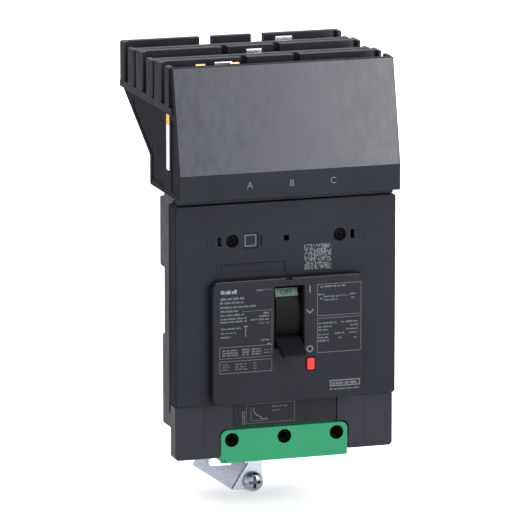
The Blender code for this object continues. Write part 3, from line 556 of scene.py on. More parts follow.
def make_main_cover():
    window = rounded((-36.6, 36.6), (28.6, 86.1), 3.0)
    outline = rounded((-HALF_WIDTH, HALF_WIDTH), (COVER_BOTTOM, COVER_TOP), 1.5)
    cover = extruded(outline, 0.0, COVER_REAR, "depth", [window], bevel=0.55, segments=3)
    carved(cover, sharp(rectangle((-54.65, 54.65), (28.4, 122.6)), 3.0, 14.0))
    fused(cover, together([block(span(side, 41.5, 54.8), (2.8, 11.4), around(height, 0.7), 0.1)
                           for side in (-1, 1) for height in (36.0, 50.0, 64.0, 78.0, 92.0, 106.3, 117.0)]))
    tower = [(0.0, 2.5), (5.0, 2.5), (5.0, 11.7), (4.7, COVER_REAR), (0.0, COVER_REAR)]
    fused(cover, together([turned(tower, (side * COVER_SCREW_X, SCREW_HEIGHT)) for side in (-1, 1)]))
    island = rounded((-38.0, 37.2), (26.8, 86.8), 3.2)
    carved(cover, sharp(rounded((-39.7, 38.6), (22.0, 88.2), 4.1), -1.0, 0.9, "depth", [island]))
    for side in (-1, 1):
        carved(cover, cone(side * COVER_SCREW_X, SCREW_HEIGHT, 3.1, 4.0),
               rod((side * COVER_SCREW_X, SCREW_HEIGHT), 1.9, 3.0, 13.0),
               sharp(rounded(around(side * 34.0, 1.0), around(SCREW_HEIGHT, 2.25), 0.3), -1.0, 3.4))
    carved(cover, sharp(rounded((-1.35, 1.35), around(SCREW_HEIGHT, 1.35), 0.3), -1.0, 4.0),
           pocket((-21.9, -14.4), (102.6, 110.1), 0.9, 0.75),
           sharp(rectangle((-13.3, -12.6), (103.6, 108.6)), -1.0, 0.8),
           pocket((-40.4, -37.4), (104.3, 108.3), 0.25, 0.2),
           pocket((37.0, 40.0), (104.3, 108.3), 0.25, 0.2),
           pocket((-35.7, -0.6), (89.9, 95.2), 0.45, 0.35))
    fused(cover, extruded(rounded((-33.4, -10.6), (91.0, 94.0), 0.6), 0.12, 0.9, bevel=0.12))
    core = rounded((-HALF_WIDTH + 0.3, HALF_WIDTH - 0.3), (COVER_BOTTOM + 0.3, COVER_TOP - 0.3), 1.3)
    carved(cover, sharp(rectangle((-70.0, 70.0), (0.0, 140.0)), 8.6, 9.0, "depth", [core]))
    solid = piece("main_cover_shell", cover, CHARCOAL, replaces=["main_cover"])
    # Painted shade: the left side faces of the cover take the darker side finish
    repaint(solid, SIDE_SHADE_DARK, lambda normal, spot: normal.x < -0.6 and spot.x < -50.0)


def pocket(xs, heights, depth, slope):
    """Cutter for a shallow pocket with sloping walls, through the front plane at depth 0."""
    bm = bmesh.new()
    rings = []
    for spread, position in ((slope * 1.6, -depth * 0.6), (-slope, depth)):
        corners = rectangle((xs[0] - spread, xs[1] + spread), (heights[0] - spread, heights[1] + spread))
        rings.append([bm.verts.new((x, position, height)) for x, height in corners])
    for index in range(4):
        after = (index + 1) % 4
        bm.faces.new((rings[0][index], rings[0][after], rings[1][after], rings[1][index]))
    bm.faces.new(rings[0])
    bm.faces.new(rings[1])
    return temporary(cleaned(meshed(bm)))


def make_nose_cover():
    opening = rounded((-7.6, 7.6), (53.0, 83.5), 0.7)
    button_way = rounded((8.6, 13.0), (41.0, 47.4), 0.7)
    nose = extruded(rounded((-39.0, 38.0), (26.2, NOSE_TOP), 3.5, 7), NOSE_FRONT, -0.3, "depth",
                    [opening, button_way], bevel=0.7, segments=1)
    inside = rounded((-34.5, 34.5), (30.7, 84.2), 1.5)
    fused(nose, sharp(rounded((-36.2, 36.2), (29.0, 85.7), 2.6), -1.0, 2.2, "depth", [inside]))
    carved(nose, sharp(inside, NOSE_FRONT + 2.5, 4.0),
           sharp(rounded((-1.7, 1.7), (86.7, 90.0), 0.3), -6.0, -2.4))
    # Painted shade: the nose cover takes the darker, shaded copy of the charcoal
    solid = piece("nose_cover_shell", nose, CHARCOAL_SHADED, replaces=["nose_cover"])
    # Painted highlight: the top chamfer of the nose is painted light grey
    rim = NOSE_TOP - 0.9
    repaint(solid, NOSE_RIM_HIGHLIGHT, lambda normal, spot: spot.z > rim and normal.z > 0.45 and normal.y < -0.3)


def make_lower_housing():
    chamfer = 1.3
    top = COVER_BOTTOM - 0.3
    w = LOWER_HALF_WIDTH
    low = LOWER_BOTTOM
    outline = [(-w, low + chamfer), (-w + chamfer, low), (w - chamfer, low), (w, low + chamfer),
               (w, top), (-w, top)]
    housing = extruded(softened(outline, 0.8), LOWER_FRONT, LOWER_REAR, bevel=0.5, segments=3)
    wall = 2.5
    w -= wall
    inner = [(-w, 6.0), (-w + chamfer, wall), (w - chamfer, wall), (w, 6.0),
             (w, top - wall), (-w, top - wall)]
    carved(housing, sharp(inner, LOWER_FRONT + 3.0, LOWER_REAR + 1.0))
    fused(housing, together([block(span(side, x, x + 1.4), (5.5, 10.8), (2.3, 23.4), 0.1)
                             for side in (-1, 1) for x in (41.6, 47.8)]))
    carved(housing, sharp(rectangle((-26.5, 27.3), (10.0, top + 1)), LOWER_FRONT - 1, 4.5))
    window = rounded((-33.3, 33.3), (-15.0, 12.5), [0, 0, 3.4, 3.4], 6)
    carved(housing, sharp(window, LOWER_FRONT - 1, LOWER_REAR + 1))
    for x in (-41.0, 41.0):
        score = rectangle(around(x, 0.3), (1.5, top + 1))
        carved(housing, sharp(score, LOWER_FRONT - 1, LOWER_FRONT + 0.12))
    # Painted light: the lower housing takes the lighter, lit copy of the charcoal
    piece("lower_housing_shell", housing, CHARCOAL_LIT_LOWER, replaces=["lower_housing"])


def make_label_panel():
    plate = extruded(rounded((-26.2, 27.0), (12.9, 25.6), 0.4), PLATE_FRONT, 4.2, bevel=0.12)
    piece("label_plate", plate, LABEL_DARK, replaces=["label_panel"])


def make_lug_cover():
    outline = rounded((-32.7, 32.7), (-4.9, 11.8), [0.6, 0.6, 3.4, 3.4], 8)
    holes = [circle(x, LUG_HEIGHT, 3.45, 40) for x in POLES.values()]
    cover = extruded(outline, LOWER_FRONT, LOWER_FRONT + 2.4, "depth", holes, bevel=0.45, segments=3)
    fused(cover, block((-32.4, 32.4), (4.2, 17.0), (-4.35, -2.4), 0.3))
    collars = [extruded(circle(x, LUG_HEIGHT, 4.6, 40), 4.8, 6.4, "depth", [circle(x, LUG_HEIGHT, 3.6, 40)],
                        bevel=0.1) for x in POLES.values()]
    collars += [sharp(circle(x, LUG_HEIGHT, 4.2, 40), 5.7, 6.6, "depth", [circle(x, LUG_HEIGHT, 2.45, 32)])
                for x in POLES.values()]
    collars.append(block((-31.0, 31.0), (5.9, 6.5), (9.0, 15.5), 0.1))
    fused(cover, together(collars))
    for side in (-1, 1):
        carved(cover, block(span(side, 30.3, 34.0), (1.0, 3.4), (-5.4, -3.0), 0.0))
    solid = piece("lug_cover_green", cover, GREEN, replaces=["lug_cover"])

    # Painted shade: the walls of the lug holes are painted near black
    def in_hole_shade(normal, spot):
        near = min(math.hypot(spot.x - x, spot.z - LUG_HEIGHT) for x in POLES.values())
        return near < 3.8 and (abs(normal.y) < 0.5 or spot.y > 5.0)

    repaint(solid, HOLE_SHADE_BLACK, in_hole_shade)


# ---- plug-on end

def hood_front(height):
    """Depth of the hood's sloping front above its band."""
    return HOOD_FRONT + HOOD_LEAN * (height - HOOD_BREAK) / (HOOD_TOP - HOOD_BREAK)


def make_line_hood():
    top = COMB_BOTTOM - 0.3
    band = [(HOOD_FRONT, 128.3), (HOOD_FRONT + 3.4, 128.3), (HOOD_FRONT + 3.4, HOOD_BREAK),
            (hood_front(HOOD_TOP) + 3.2, HOOD_TOP), (hood_front(HOOD_TOP), HOOD_TOP),
            (HOOD_FRONT, HOOD_BREAK)]
    hood = wide(softened(band, [0.5, 0.3, 0.0, 0.5, 0.7, 1.2]), HALF_WIDTH, 0.5, 3)
    shell = [(HOOD_FRONT + 1.0, 128.3), (44.6, 128.3), (44.6, 143.0), (COMB_REAR - 0.6, top),
             (hood_front(top) + 1.0, top), (HOOD_FRONT + 1.0, HOOD_BREAK)]
    fused(hood, wide(softened(shell, [0.0, 1.5, 2.5, 0.0, 0.0, 0.0]), SHELL_HALF_WIDTH, 0.5))
    fused(hood, block((-55.0, 55.0), (0.7, 7.0), (125.6, 128.8), 0.2))
    neck = [(40.0, 124.9), (71.4, 124.9), (71.4, 160.0), (40.0, 142.0)]
    fused(hood, wide(neck, BASE_HALF_WIDTH, 0.4))
    inside = [(HOOD_FRONT + 3.4, 131.3), (41.6, 131.3), (41.6, 144.9), (85.5, top - 0.1), (85.5, top + 2.0),
              (hood_front(top) + 3.4, top + 2.0), (HOOD_FRONT + 3.4, HOOD_BREAK)]
    carved(hood, wide(inside, 54.0, 0.0))
    inner_neck = [(30.0, 129.1), (68.4, 129.1), (68.4, 162.0), (30.0, 146.0)]
    carved(hood, wide(inner_neck, 37.5, 0.0))
    carved(hood, together([block(around(x, 6.0), (56.6, 61.6), (123.6, 130.6), 0.0)
                           for x in POLES.values()]))
    narrow = softened([(1.2, 131.0), (8.8, 131.0), (8.8, 166.4), (3.6, 166.4), (1.2, 157.0)], 0.8)
    broad = softened([(20.5, 131.5), (41.0, 131.5), (41.0, 143.5), (73.0, 161.5), (73.0, 165.6),
                      (20.5, 165.6)], 1.2)
    carved(hood, together([sharp(recess, *span(side, 55.4, 58.0), "x")
                           for side in (-1, 1) for recess in (narrow, broad)]))
    solid = piece("line_hood_shell", hood, CHARCOAL, replaces=["line_hood"])
    # Painted reflection: the sloping face of the hood is painted lighter grey
    slope = Vector((0.0, -51.7, HOOD_LEAN)).normalized()
    repaint(solid, SLOPE_REFLECTION_GREY, lambda normal, spot: normal.dot(slope) > 0.985 and spot.z > HOOD_BREAK + 0.4)
    # Painted shade: both sides of the hood take the darker side finish
    repaint(solid, SIDE_SHADE_DARK, lambda normal, spot: abs(normal.x) > 0.9)


def comb_plate(middle, ends):
    """Plan outline of a comb plate, thin in the middle and wide at both ends."""
    w = COMB_HALF_WIDTH
    inner = COMB_INNER
    outline = [(-w, ends[0]), (-inner, ends[0]), (-inner, middle[0]), (inner, middle[0]), (inner, ends[0]),
               (w, ends[0]), (w, ends[1])]
    if ends[1] > middle[1]:
        outline += [(inner, ends[1]), (inner, middle[1]), (-inner, middle[1]), (-inner, ends[1])]
    outline.append((-w, ends[1]))
    return softened(outline, 0.9, 4)


def make_bus_comb():
    front = hood_front(COMB_FLOOR) + 3.7
    w = COMB_HALF_WIDTH
    comb = block((-w, w), (front, COMB_REAR), (COMB_BOTTOM, COMB_FLOOR), 0.3)
    slots = list(SLOTS.values())
    plates = []
    plate_low = COMB_FLOOR - 1.0
    for index, slot in enumerate(slots):
        behind = comb_plate((slot + 6.5, min(slot + 11.0, COMB_REAR)),
                            (slot + 3.7, min(slot + 14.0, COMB_REAR)))
        plates.append(extruded(behind, plate_low, COMB_TOP, "height", bevel=0.35, segments=3))
        if index:
            ahead = comb_plate((slot - 11.0, slot - 6.5), (slot - 13.0, slot - 3.7))
            plates.append(extruded(ahead, plate_low, COMB_TOP - 1.4, "height", bevel=0.35, segments=3))
    post = (hood_front(COMB_TOP) + 3.5, slots[0] - 3.7)
    for side in (-1, 1):
        plates.append(block(span(side, COMB_INNER, w), post, (plate_low, COMB_TOP), 0.6))
    fused(comb, together(plates))
    profile = rounded((-w, w), (160.0, COMB_TOP), [0.0, 0.0, 1.3, 1.3], 6)
    clipped(comb, sharp(profile, -5.0, 100.0))
    carved(comb, block((56.2, 59.0), (0.0, 84.0), (160.0, 195.0), 0.0))
    notches = []
    for side in (-1, 1):
        for slot, half in zip(slots, (1.6, 1.6, 3.3)):
            shape = rounded(around(side * 13.5, half), (183.5, 196.0), [1.0, 1.0, 0.0, 0.0], 4)
            notches.append(sharp(shape, slot + 5.5, slot + 12.0))
    carved(comb, together(notches))
    carved(comb, together([block(around(JAW_X[pole], 12.6), around(slot, 6.2), (168.0, 173.2), 0.0)
                           for pole, slot in SLOTS.items()]))
    fused(comb, together([block(around(x, 0.9), depths, (172.0, 180.5), 0.15)
                          for depths in ((29.3, 39.2), (60.8, 70.7))
                          for x in (-41.0, -27.0, -13.5, 0.0, 13.5, 27.0, 41.0)]))
    solid = piece("bus_comb_body", comb, COMB_DARK, replaces=["bus_comb"])
    repaint(solid, COMB_END, lambda normal, spot: abs(normal.x) > 0.9)


def make_jaws():
    """Plated fingers with a silvered contact strip, and the steel clip round each pair."""
    for pole, slot in SLOTS.items():
        x = JAW_X[pole]
        for name, side in (("front", -1), ("rear", 1)):
            inner = slot + side * 2.9
            tip = 192.3 if (pole, name) == ("left", "front") else 187.4
            outer = inner + side * 1.6
            profile = [(inner, 169.7), (inner, tip - 3.6), (inner + side * 1.2, tip),
                       (inner + side * 2.6, tip - 0.5), (outer, tip - 4.0), (outer, 169.7)]
            profile = softened(profile, [0.2, 2.5, 0.5, 0.5, 2.5, 0.2])
            finger = extruded(profile, *around(x, 11.1), "x", bevel=0.2)
            gap = rounded(around(x, 6.3), (176.0, 195.0), [1.5, 1.5, 0, 0], 4)
            carved(finger, sharp(gap, *around(slot, 8.0)))
            piece(f"jaw_finger_{name}_{pole}_plated", finger, COPPER,
                  replaces=[f"jaw_finger_{name}_{pole}"])
        strip = extruded(rounded((slot - 4.0, slot - 2.6), (174.5, 192.45), 0.3), *STRIPS[pole], "x")
        piece(f"jaw_contact_strip_{pole}", strip, SILVERED)
        left = x - 11.8
        front, rear = around(slot, 5.2)
        path = [(x + 7.9, front), (left, front), (left, rear), (x + 7.9, rear)]
        outline = softened(ribbon(path, 0.4), [0, 0.9, 0.9, 0, 0, 0.4, 0.4, 0], 3)
        clip = extruded(outline, 173.0, 185.0, "height", bevel=0.12)
        carved(clip, block((left - 1.6, left + 0.8), around(slot, 8.0), (175.8, 187.0), 0.0))
        piece(f"jaw_spring_{pole}_clip", clip, BRIGHT, replaces=[f"jaw_spring_{pole}"])


# ---- rear base

def make_rear_base():
    w = BASE_HALF_WIDTH
    base = block((-w, w), (BASE_FRONT, BASE_REAR), (0.0, 124.6), 0.8)
    cells = ((-38.0, -14.7), (-12.3, 12.3), (14.7, 38.0))
    carved(base, together([block(xs, (11.0, 68.4), (3.0, 121.6), 0.0) for xs in cells]))
    load_ways = ((9.5, (11.3, 40.0), (-1.0, 4.0)), (6.0, (56.6, 61.6), (120.6, 125.6)))
    bar_ways = ((2.4, (11.3, 35.0), (45.0, 58.0)), (2.4, (37.0, 55.0), (75.0, 93.0)))
    for middles, ways in ((POLES.values(), load_ways), ((-13.5, 13.5), bar_ways)):
        carved(base, together([block(around(x, half), depths, heights, 0.0)
                               for x in middles for half, depths, heights in ways]))
    upper = softened([(70.4, 80.0), (79.0, 80.0), (79.0, 115.0), (70.4, 117.5)], [0.0, 1.2, 1.2, 0.0])
    lower = softened([(70.4, 0.0), (75.2, 0.0), (75.2, 45.6), (70.4, 47.6)], [0.0, 1.2, 1.2, 0.0])
    fused(base, wide(upper, w, 0.6), wide(lower, w, 0.6))
    fused(base, together([block(span(side, 13.3, 39.5), (BASE_FRONT, 18.0), (102.8, 109.8), 0.0)
                          for side in (-1, 1)]))
    carved(base, together([rod((side * COVER_SCREW_X, SCREW_HEIGHT), 1.9, 11.3, 19.0, 20)
                           for side in (-1, 1)]))
    well_rows = (({-29.0: 5.4, -14.5: 5.4, 14.5: 5.4, 29.0: 5.4}, (84.5, 110.5), (76.6, 80.5)),
                 ({-31.0: 5.6, 31.0: 5.6, 8.0: 9.0}, (5.0, 41.0), (73.4, 77.0)),
                 ({-24.0: 9.0, 0.0: 9.0, 24.0: 9.0}, (53.5, 74.5), (70.4, 73.0)))
    carved(base, together([sharp(rounded(around(x, half), heights, 1.5), *depths)
                           for row, heights, depths in well_rows for x, half in row.items()]))
    vents = []
    for side in (-1, 1):
        for index in range(6):
            depth = 24.0 + index * 6.0
            vent = rounded((depth, depth + 2.4), (100.5, 117.5), 1.1)
            vents.append(sharp(vent, *span(side, 39.6, 42.0), "x"))
        for heights in ((52.0, 75.0), (7.0, 43.0)):
            vents.append(sharp(rounded((20.0, 64.0), heights, 2.0), *span(side, 39.9, 42.0), "x"))
    carved(base, together(vents))
    piece("rear_base_shell", base, CHARCOAL, replaces=["rear_base"])


# ---- handle and button

def make_handle():
    """A lever that gets narrower towards its tip, in front of depth 0, on a round hub."""
    lever = wide(softened(LEVER, LEVER_ROUNDING), 6.6, 0.45, 3)
    for vertex in lever.data.vertices:
        vertex.co.x *= 1.0 - 0.10 * min(1.0, max(0.0, -vertex.co.y / 14.0))
    hub = [(0.0, -6.9), (5.0, -6.9), (5.2, -6.7), (5.2, 6.7), (5.0, 6.9), (0.0, 6.9)]
    fused(lever, turned(hub, HANDLE_AXIS, 40, "x"))
    carved(lever, rod(HANDLE_AXIS, 1.8, -8.0, 8.0, 24, "x"))
    piece("handle_lever_grip", lever, HANDLE_BLACK, "handle_lever", ["handle"])


def make_handle_shield():
    start = HANDLE_REST - math.radians(55.0)
    end = HANDLE_REST + math.radians(55.0)
    rim = arc(HANDLE_AXIS, 25.1, start, end, 44) + arc(HANDLE_AXIS, 24.6, end, start, 44)
    face = arc(HANDLE_AXIS, 26.0, start, end, 44) + arc(HANDLE_AXIS, 24.7, end, start, 44)
    shield = wide(rim, 8.3, 0.1)
    fused(shield, wide(face, 5.9, 0.3))
    carved(shield, wide(LEVER_WAY, 6.9, 0.0))
    piece("handle_shield_arc", shield, SHIELD_BROWN, "handle_lever", ["handle_shield"])


def make_flags():
    for name, finish, slot, side in (("off_flag", FLAG_GREEN, "flag_green", 1),
                                     ("on_flag", FLAG_WHITE, "flag_white", -1)):
        centre = HANDLE_REST + side * FLAG_ANGLE
        span = math.radians(4.4)
        outline = arc(HANDLE_AXIS, FLAG_RADIUS, centre - span, centre + span, 8)
        outline += arc(HANDLE_AXIS, FLAG_RADIUS - 0.4, centre + span, centre - span, 8)
        piece(f"{name}_tile", wide(outline, 5.8, 0.1), finish, "handle_lever", [name])


def make_trip_button():
    face = rounded((8.9, 12.7), (41.3, 47.1), 0.8)
    button = extruded(face, NOSE_FRONT - 1.0, 2.0, bevel=0.45, segments=4)
    fused(button, extruded(rounded((8.7, 13.6), (40.4, 48.0), 0.4), -2.2, -1.0, bevel=0.1))
    stem = [(0.0, 1.0), (1.0, 1.0), (1.0, 17.1), (0.7, 17.4), (0.0, 17.4)]
    fused(button, turned(stem, (10.8, 44.2), 24))
    piece("trip_button_cap", button, RED, "push_button", ["trip_button"])


# ---- screws and bracket

def make_cover_screws():
    """Domed screws with a cross in the head, each turned to another angle."""
    profile = [(0.0, 1.35), (1.6, 1.3), (2.5, 1.55), (2.8, 1.9), (2.8, 3.6), (1.6, 3.7), (1.6, 16.4),
               (1.0, 17.0), (0.0, 17.0)]
    for name, side, turn in (("left", -1, 0.5), ("right", 1, -0.2)):
        x = side * COVER_SCREW_X
        screw = turned(profile, (x, SCREW_HEIGHT))
        for angle in (turn, turn + math.pi / 2):
            slot = [(x + a * math.cos(angle) - b * math.sin(angle),
                     SCREW_HEIGHT + a * math.sin(angle) + b * math.cos(angle))
                    for a, b in rectangle((-1.9, 1.9), (-0.35, 0.35))]
            carved(screw, sharp(slot, 0.5, 2.6))
        # The cover screws are painted near black as shade in their holes
        piece(f"cover_screw_{name}_driven", screw, HOLE_SHADE_BLACK, replaces=[f"cover_screw_{name}"])


def make_lug_screws():
    for pole, x in POLES.items():
        profile = [(0.0, 7.0), (2.7, 7.0), (3.1, 7.4)]
        for index in range(16):
            along = index * 0.82
            profile += [(3.1, 8.4 + along), (2.75, 8.8 + along)]
        profile += [(2.7, 21.6), (2.2, 22.0), (0.0, 22.0)]
        screw = turned(profile, (x, LUG_HEIGHT), 28)
        carved(screw, sharp(circle(x, LUG_HEIGHT, 1.9, 6), 6.0, 10.5))
        # The lug screws are painted near black as shade in their holes
        piece(f"lug_screw_{pole}_hex", screw, HOLE_SHADE_BLACK, f"lug_clamp_{pole}",
              [f"lug_screw_{pole}"])


def make_box_lugs():
    for pole, x in POLES.items():
        lug = extruded(rounded(around(x, 8.0), (16.0, 37.0), 1.2), 0.6, 13.4, "height",
                       [circle(x, 28.5, 5.6, 36)], bevel=0.5, segments=3)
        carved(lug, rod((x, LUG_HEIGHT), 3.4, 15.0, 27.0, 28))
        piece(f"box_lug_{pole}_block", lug, ZINC, replaces=[f"box_lug_{pole}"])


def make_bracket():
    """Folded sheet: rear leg, slanting slotted wing and front tab, with rounded corners."""
    rear = ((-24.4, -23.7), (-16.2, -10.9))
    front = ((-10.7, -32.2), (-2.5, -19.4))
    leg_outline = softened([*rear, (-10.0, -2.0), (-10.0, 40.0), (-24.4, 40.0)], [0.0, 0.0, 1.5, 3.0, 3.0])
    tab_outline = softened([front[0], (0.0, -33.2), (3.4, -32.6), (5.0, -30.0), (5.0, -1.6), (-2.5, -1.6),
                            front[1]], [0.0, 2.0, 1.5, 1.5, 2.5, 2.5, 0.0], 5)
    hole = softened([(0.30, 0.22), (0.735, 0.68), (0.66, 0.90), (0.23, 0.58)], 0.06)
    bm = bmesh.new()

    def at(point, depth):
        return bm.verts.new((point[0], depth, point[1]))

    fold = {}
    for points, depth in ((rear, BRACKET_LEG), (front, BRACKET_TAB)):
        for point in points:
            fold[point] = at(point, depth)
    bm.faces.new([fold.get(tuple(point)) or at(point, BRACKET_LEG) for point in leg_outline])
    bm.faces.new([fold.get(tuple(point)) or at(point, BRACKET_TAB) for point in tab_outline])
    corners = [fold[rear[0]], fold[front[0]], fold[front[1]], fold[rear[1]]]
    low_rear, low_front, high_front, high_rear = [corner.co.copy() for corner in corners]
    ring = []
    for across, up in hole:
        low = low_rear.lerp(low_front, across)
        high = high_rear.lerp(high_front, across)
        ring.append(bm.verts.new(low.lerp(high, up)))
    edges = []
    for loop in (corners, ring):
        for here, there in zip(loop, loop[1:] + loop[:1]):
            edges.append(bm.edges.get((here, there)) or bm.edges.new((here, there)))
    bmesh.ops.triangle_fill(bm, use_beauty=True, use_dissolve=True, edges=edges)
    bmesh.ops.recalc_face_normals(bm, faces=bm.faces)
    sheet = temporary(meshed(bm))
    thickness = sheet.modifiers.new("sheet", "SOLIDIFY")
    thickness.thickness = 2.0
    thickness.offset = 0.0
    thickness.use_even_offset = True
    rounding = sheet.modifiers.new("edges", "BEVEL")
    rounding.width = 0.35
    rounding.segments = 2
    rounding.limit_method = "ANGLE"
    rounding.angle_limit = math.radians(40.0)
    mesh = evaluated(sheet)
    sheet.modifiers.clear()
    sheet.data = mesh
    carved(sheet, rod((0.0, BRACKET_SCREW_HEIGHT), 2.7, 50.0, 60.0))
    piece("mounting_bracket_sheet", sheet, ZINC, replaces=["mounting_bracket"])


def make_mounting_screw():
    front = BRACKET_TAB - 4.9
    profile = [(0.0, 0.0), (2.4, 0.15), (3.9, 0.6), (4.75, 1.3), (5.0, 2.0), (5.0, 3.6), (2.4, 3.6),
               (2.4, 15.4), (1.9, 16.0), (0.0, 16.0)]
    head = turned([(radius, front + along) for radius, along in profile], (0.0, BRACKET_SCREW_HEIGHT), 40)
    for half_width, half_height in ((3.2, 0.8), (0.8, 3.2)):
        bar = rounded(around(0.0, half_width), around(BRACKET_SCREW_HEIGHT, half_height), 0.25)
        carved(head, sharp(bar, front - 1.0, front + 2.3))
    solid = piece("mounting_screw_head", head, SCREW_ZINC, "mount_fastener",
                  ["mounting_screw"])

    # Painted shade: the faces inside the screw's cross recess take the dark steel
    def in_cross_recess_shade(normal, spot):
        inside = math.hypot(spot.x, spot.z - BRACKET_SCREW_HEIGHT) < 3.3
        return inside and front + 0.75 < spot.y < front + 2.5

    repaint(solid, DARK_STEEL_AND_RECESS_SHADE, in_cross_recess_shade)


# ---- prints and labels

def slabs(boxes):
    """Many thin closed boxes, each (x0, x1, depth0, depth1, height0, height1), as one mesh."""
    bm = bmesh.new()
    for x0, x1, d0, d1, h0, h1 in boxes:
        matrix = Matrix.Translation(((x0 + x1) / 2, (d0 + d1) / 2, (h0 + h1) / 2)) @ Matrix.Diagonal(
            (abs(x1 - x0), abs(d1 - d0), abs(h1 - h0), 1.0))
        bmesh.ops.create_cube(bm, size=1.0, matrix=matrix)
    return temporary(meshed(bm))


def on_plane(rects, plane):
    return [(x0, x1, plane - INK, plane + UNDER, h0, h1) for x0, x1, h0, h1 in rects]


def inked(outline, plane, holes=()):
    return sharp(outline, plane - INK, plane + UNDER, "depth", holes)


def words(draw, start, end, centre, size):
    """A line of small blocks of uneven width that reads as fine print but spells nothing."""
    made = []
    at = start
    while at < end - 0.3:
        length = draw.uniform(1.2, 4.2)
        stop = min(end, at + length)
        while at < stop - 0.2:
            width = draw.uniform(0.22, 0.5)
            tall = size * draw.choice((0.72, 0.8, 1.0))
            made.append((at, min(at + width, stop), centre - size / 2, centre - size / 2 + tall))
            at += width + 0.16
        at += 0.42
    return made


def border(x0, x1, h0, h1, thick=0.3):
    return [(x0, x1, h0, h0 + thick), (x0, x1, h1 - thick, h1),
            (x0, x0 + thick, h0 + thick, h1 - thick), (x1 - thick, x1, h0 + thick, h1 - thick)]


# Lines of fine print on the nose cover: start, end, centre height and size of the print
TEXT_LINES = (
    (-35.3, -23.1, 79.3, 1.35), (-35.3, -23.4, 77.3, 1.15), (-35.3, -17.2, 75.1, 1.1),
    (-35.3, -26.2, 73.1, 1.1), (-35.3, -23.1, 71.1, 0.95), (-35.3, -21.6, 69.3, 0.95),
    (-35.3, -21.8, 67.8, 0.95), (-13.4, -9.9, 71.2, 0.9), (-15.7, -10.3, 69.7, 0.9),
    (-19.8, -16.7, 68.2, 0.9), (-16.0, -10.3, 68.1, 0.9),
)
# Start, end and centre height of lines that share one size
NOTE_LINES = (
    (-35.1, -24.1, 64.4), (-35.1, -27.2, 62.2), (-35.1, -30.2, 60.2), (-14.4, -10.3, 57.8),
    (-11.4, -9.6, 55.8),
)
TABLE_LINES = (
    (14.8, 18.4, 78.4), (15.6, 17.4, 76.4), (17.8, 24.9, 77.2), (17.8, 24.9, 75.5), (31.1, 34.2, 77.9),
    (31.9, 33.4, 76.0), (14.9, 24.9, 64.0), (26.7, 35.3, 64.1), (14.9, 21.8, 62.2), (14.9, 20.0, 60.6),
    (31.4, 35.3, 62.3), (29.3, 35.3, 60.4), (23.3, 28.3, 58.6), (30.8, 35.3, 58.5), (14.9, 20.0, 58.4),
    (14.9, 20.3, 56.8), (14.9, 20.3, 55.2), (25.3, 26.8, 56.3), (33.2, 34.5, 56.0),
)
FAINT_LINES = ((-13.1, -9.8, 51.4), (-13.1, -9.8, 52.8), (25.2, 30.8, 77.4), (-16.0, -10.3, 66.3))


def make_nose_prints():
    draw = random.Random(7)
    bright = words(draw, -35.1, -26.9, 82.6, 2.0)
    middle = [(10.25, 10.8, 79.7, 83.4)]
    for line in TEXT_LINES:
        middle += words(draw, *line)
    for line in NOTE_LINES:
        middle += words(draw, *line, 0.8)
    middle += [(-23.6, -21.2, 64.8, 65.3)] + [(-22.7, -22.1, 60.0 + row, 60.6 + row) for row in range(5)]
    for x0, x1 in ((-34.3, -32.7), (-32.2, -26.4), (-24.1, -20.6), (-19.3, -14.4)):
        for level in (51.1, 52.3, 53.5):
            middle += words(draw, x0, x1, level, 0.8)
    middle += words(draw, 15.9, 28.8, 82.3, 1.0)
    for line in TABLE_LINES:
        middle += words(draw, *line, 0.85)
    middle += border(20.8, 36.4, 31.9, 35.1, 0.5) + words(draw, 21.8, 35.4, 33.5, 1.5)
    middle += words(draw, 20.8, 36.4, 30.6, 0.8)
    faint = border(-35.8, -8.9, 42.0, 48.2) + border(-35.8, -8.9, 49.4, 55.3)
    faint += [(-17.0, -13.4, 82.2, 82.9), (-12.9, -9.0, 82.7, 82.95)]
    faint += [(-24.1, -9.1, 72.4, 72.65), (-9.1, -8.9, 55.3, 72.65)]
    faint += border(14.2, 36.9, 67.6, 83.6) + border(14.2, 36.9, 49.2, 66.6)
    for x0, x1 in ((-34.6, -30.7), (-27.9, -21.6), (-18.5, -16.5)):
        for level in (43.9, 45.2, 46.5):
            faint += words(draw, x0, x1, level, 0.7)
    for line in FAINT_LINES:
        faint += words(draw, *line, 0.7)
    for name, finish, rects in (("nose_print_bright", INK_LIGHT, bright),
                                ("nose_print_text", INK_MID, middle),
                                ("nose_print_frames", INK_FAINT, faint)):
        piece(name, slabs(on_plane(rects, NOSE_FRONT)), finish)
    ring = inked(circle(10.5, 51.6, 1.72), NOSE_FRONT, [circle(10.5, 51.6, 1.12)])
    piece("off_mark_ring", ring, INK_MID)
    chevron = [(8.7, 70.9), (10.55, 69.2), (12.4, 70.9), (12.4, 71.6), (10.55, 70.0), (8.7, 71.6)]
    piece("trip_mark_chevron", inked(chevron, NOSE_FRONT), INK_MID)


def make_cover_prints():
    """A patch of scattered dots on the cover: plain texture, not a readable code."""
    draw = random.Random(11)
    rects = []
    cell = 0.55
    for row in range(23):
        for column in range(25):
            if draw.random() < 0.56:
                x = 9.3 + column * cell
                height = 90.1 + row * cell
                rects.append((x, x + cell * 0.93, height, height + cell * 0.93))
    piece("cover_print_patch", slabs(on_plane(rects, 0.0)), INK_MID)
    symbol = border(-21.2, -15.1, 103.3, 109.4, 0.75)
    rects = [(x0, x1, 0.7, 0.95, h0, h1) for x0, x1, h0, h1 in symbol]
    piece("cover_icon_frame", slabs(rects), INK_FAINT)
    tile = [(-20.2, -16.1, 0.75, 0.95, 104.3, 108.4), (-19.3, -17.0, 0.7, 0.76, 105.2, 107.5)]
    # The icon tile is drawn in the darker, shaded copy of the charcoal
    piece("cover_icon_tile", slabs(tile), CHARCOAL_SHADED)


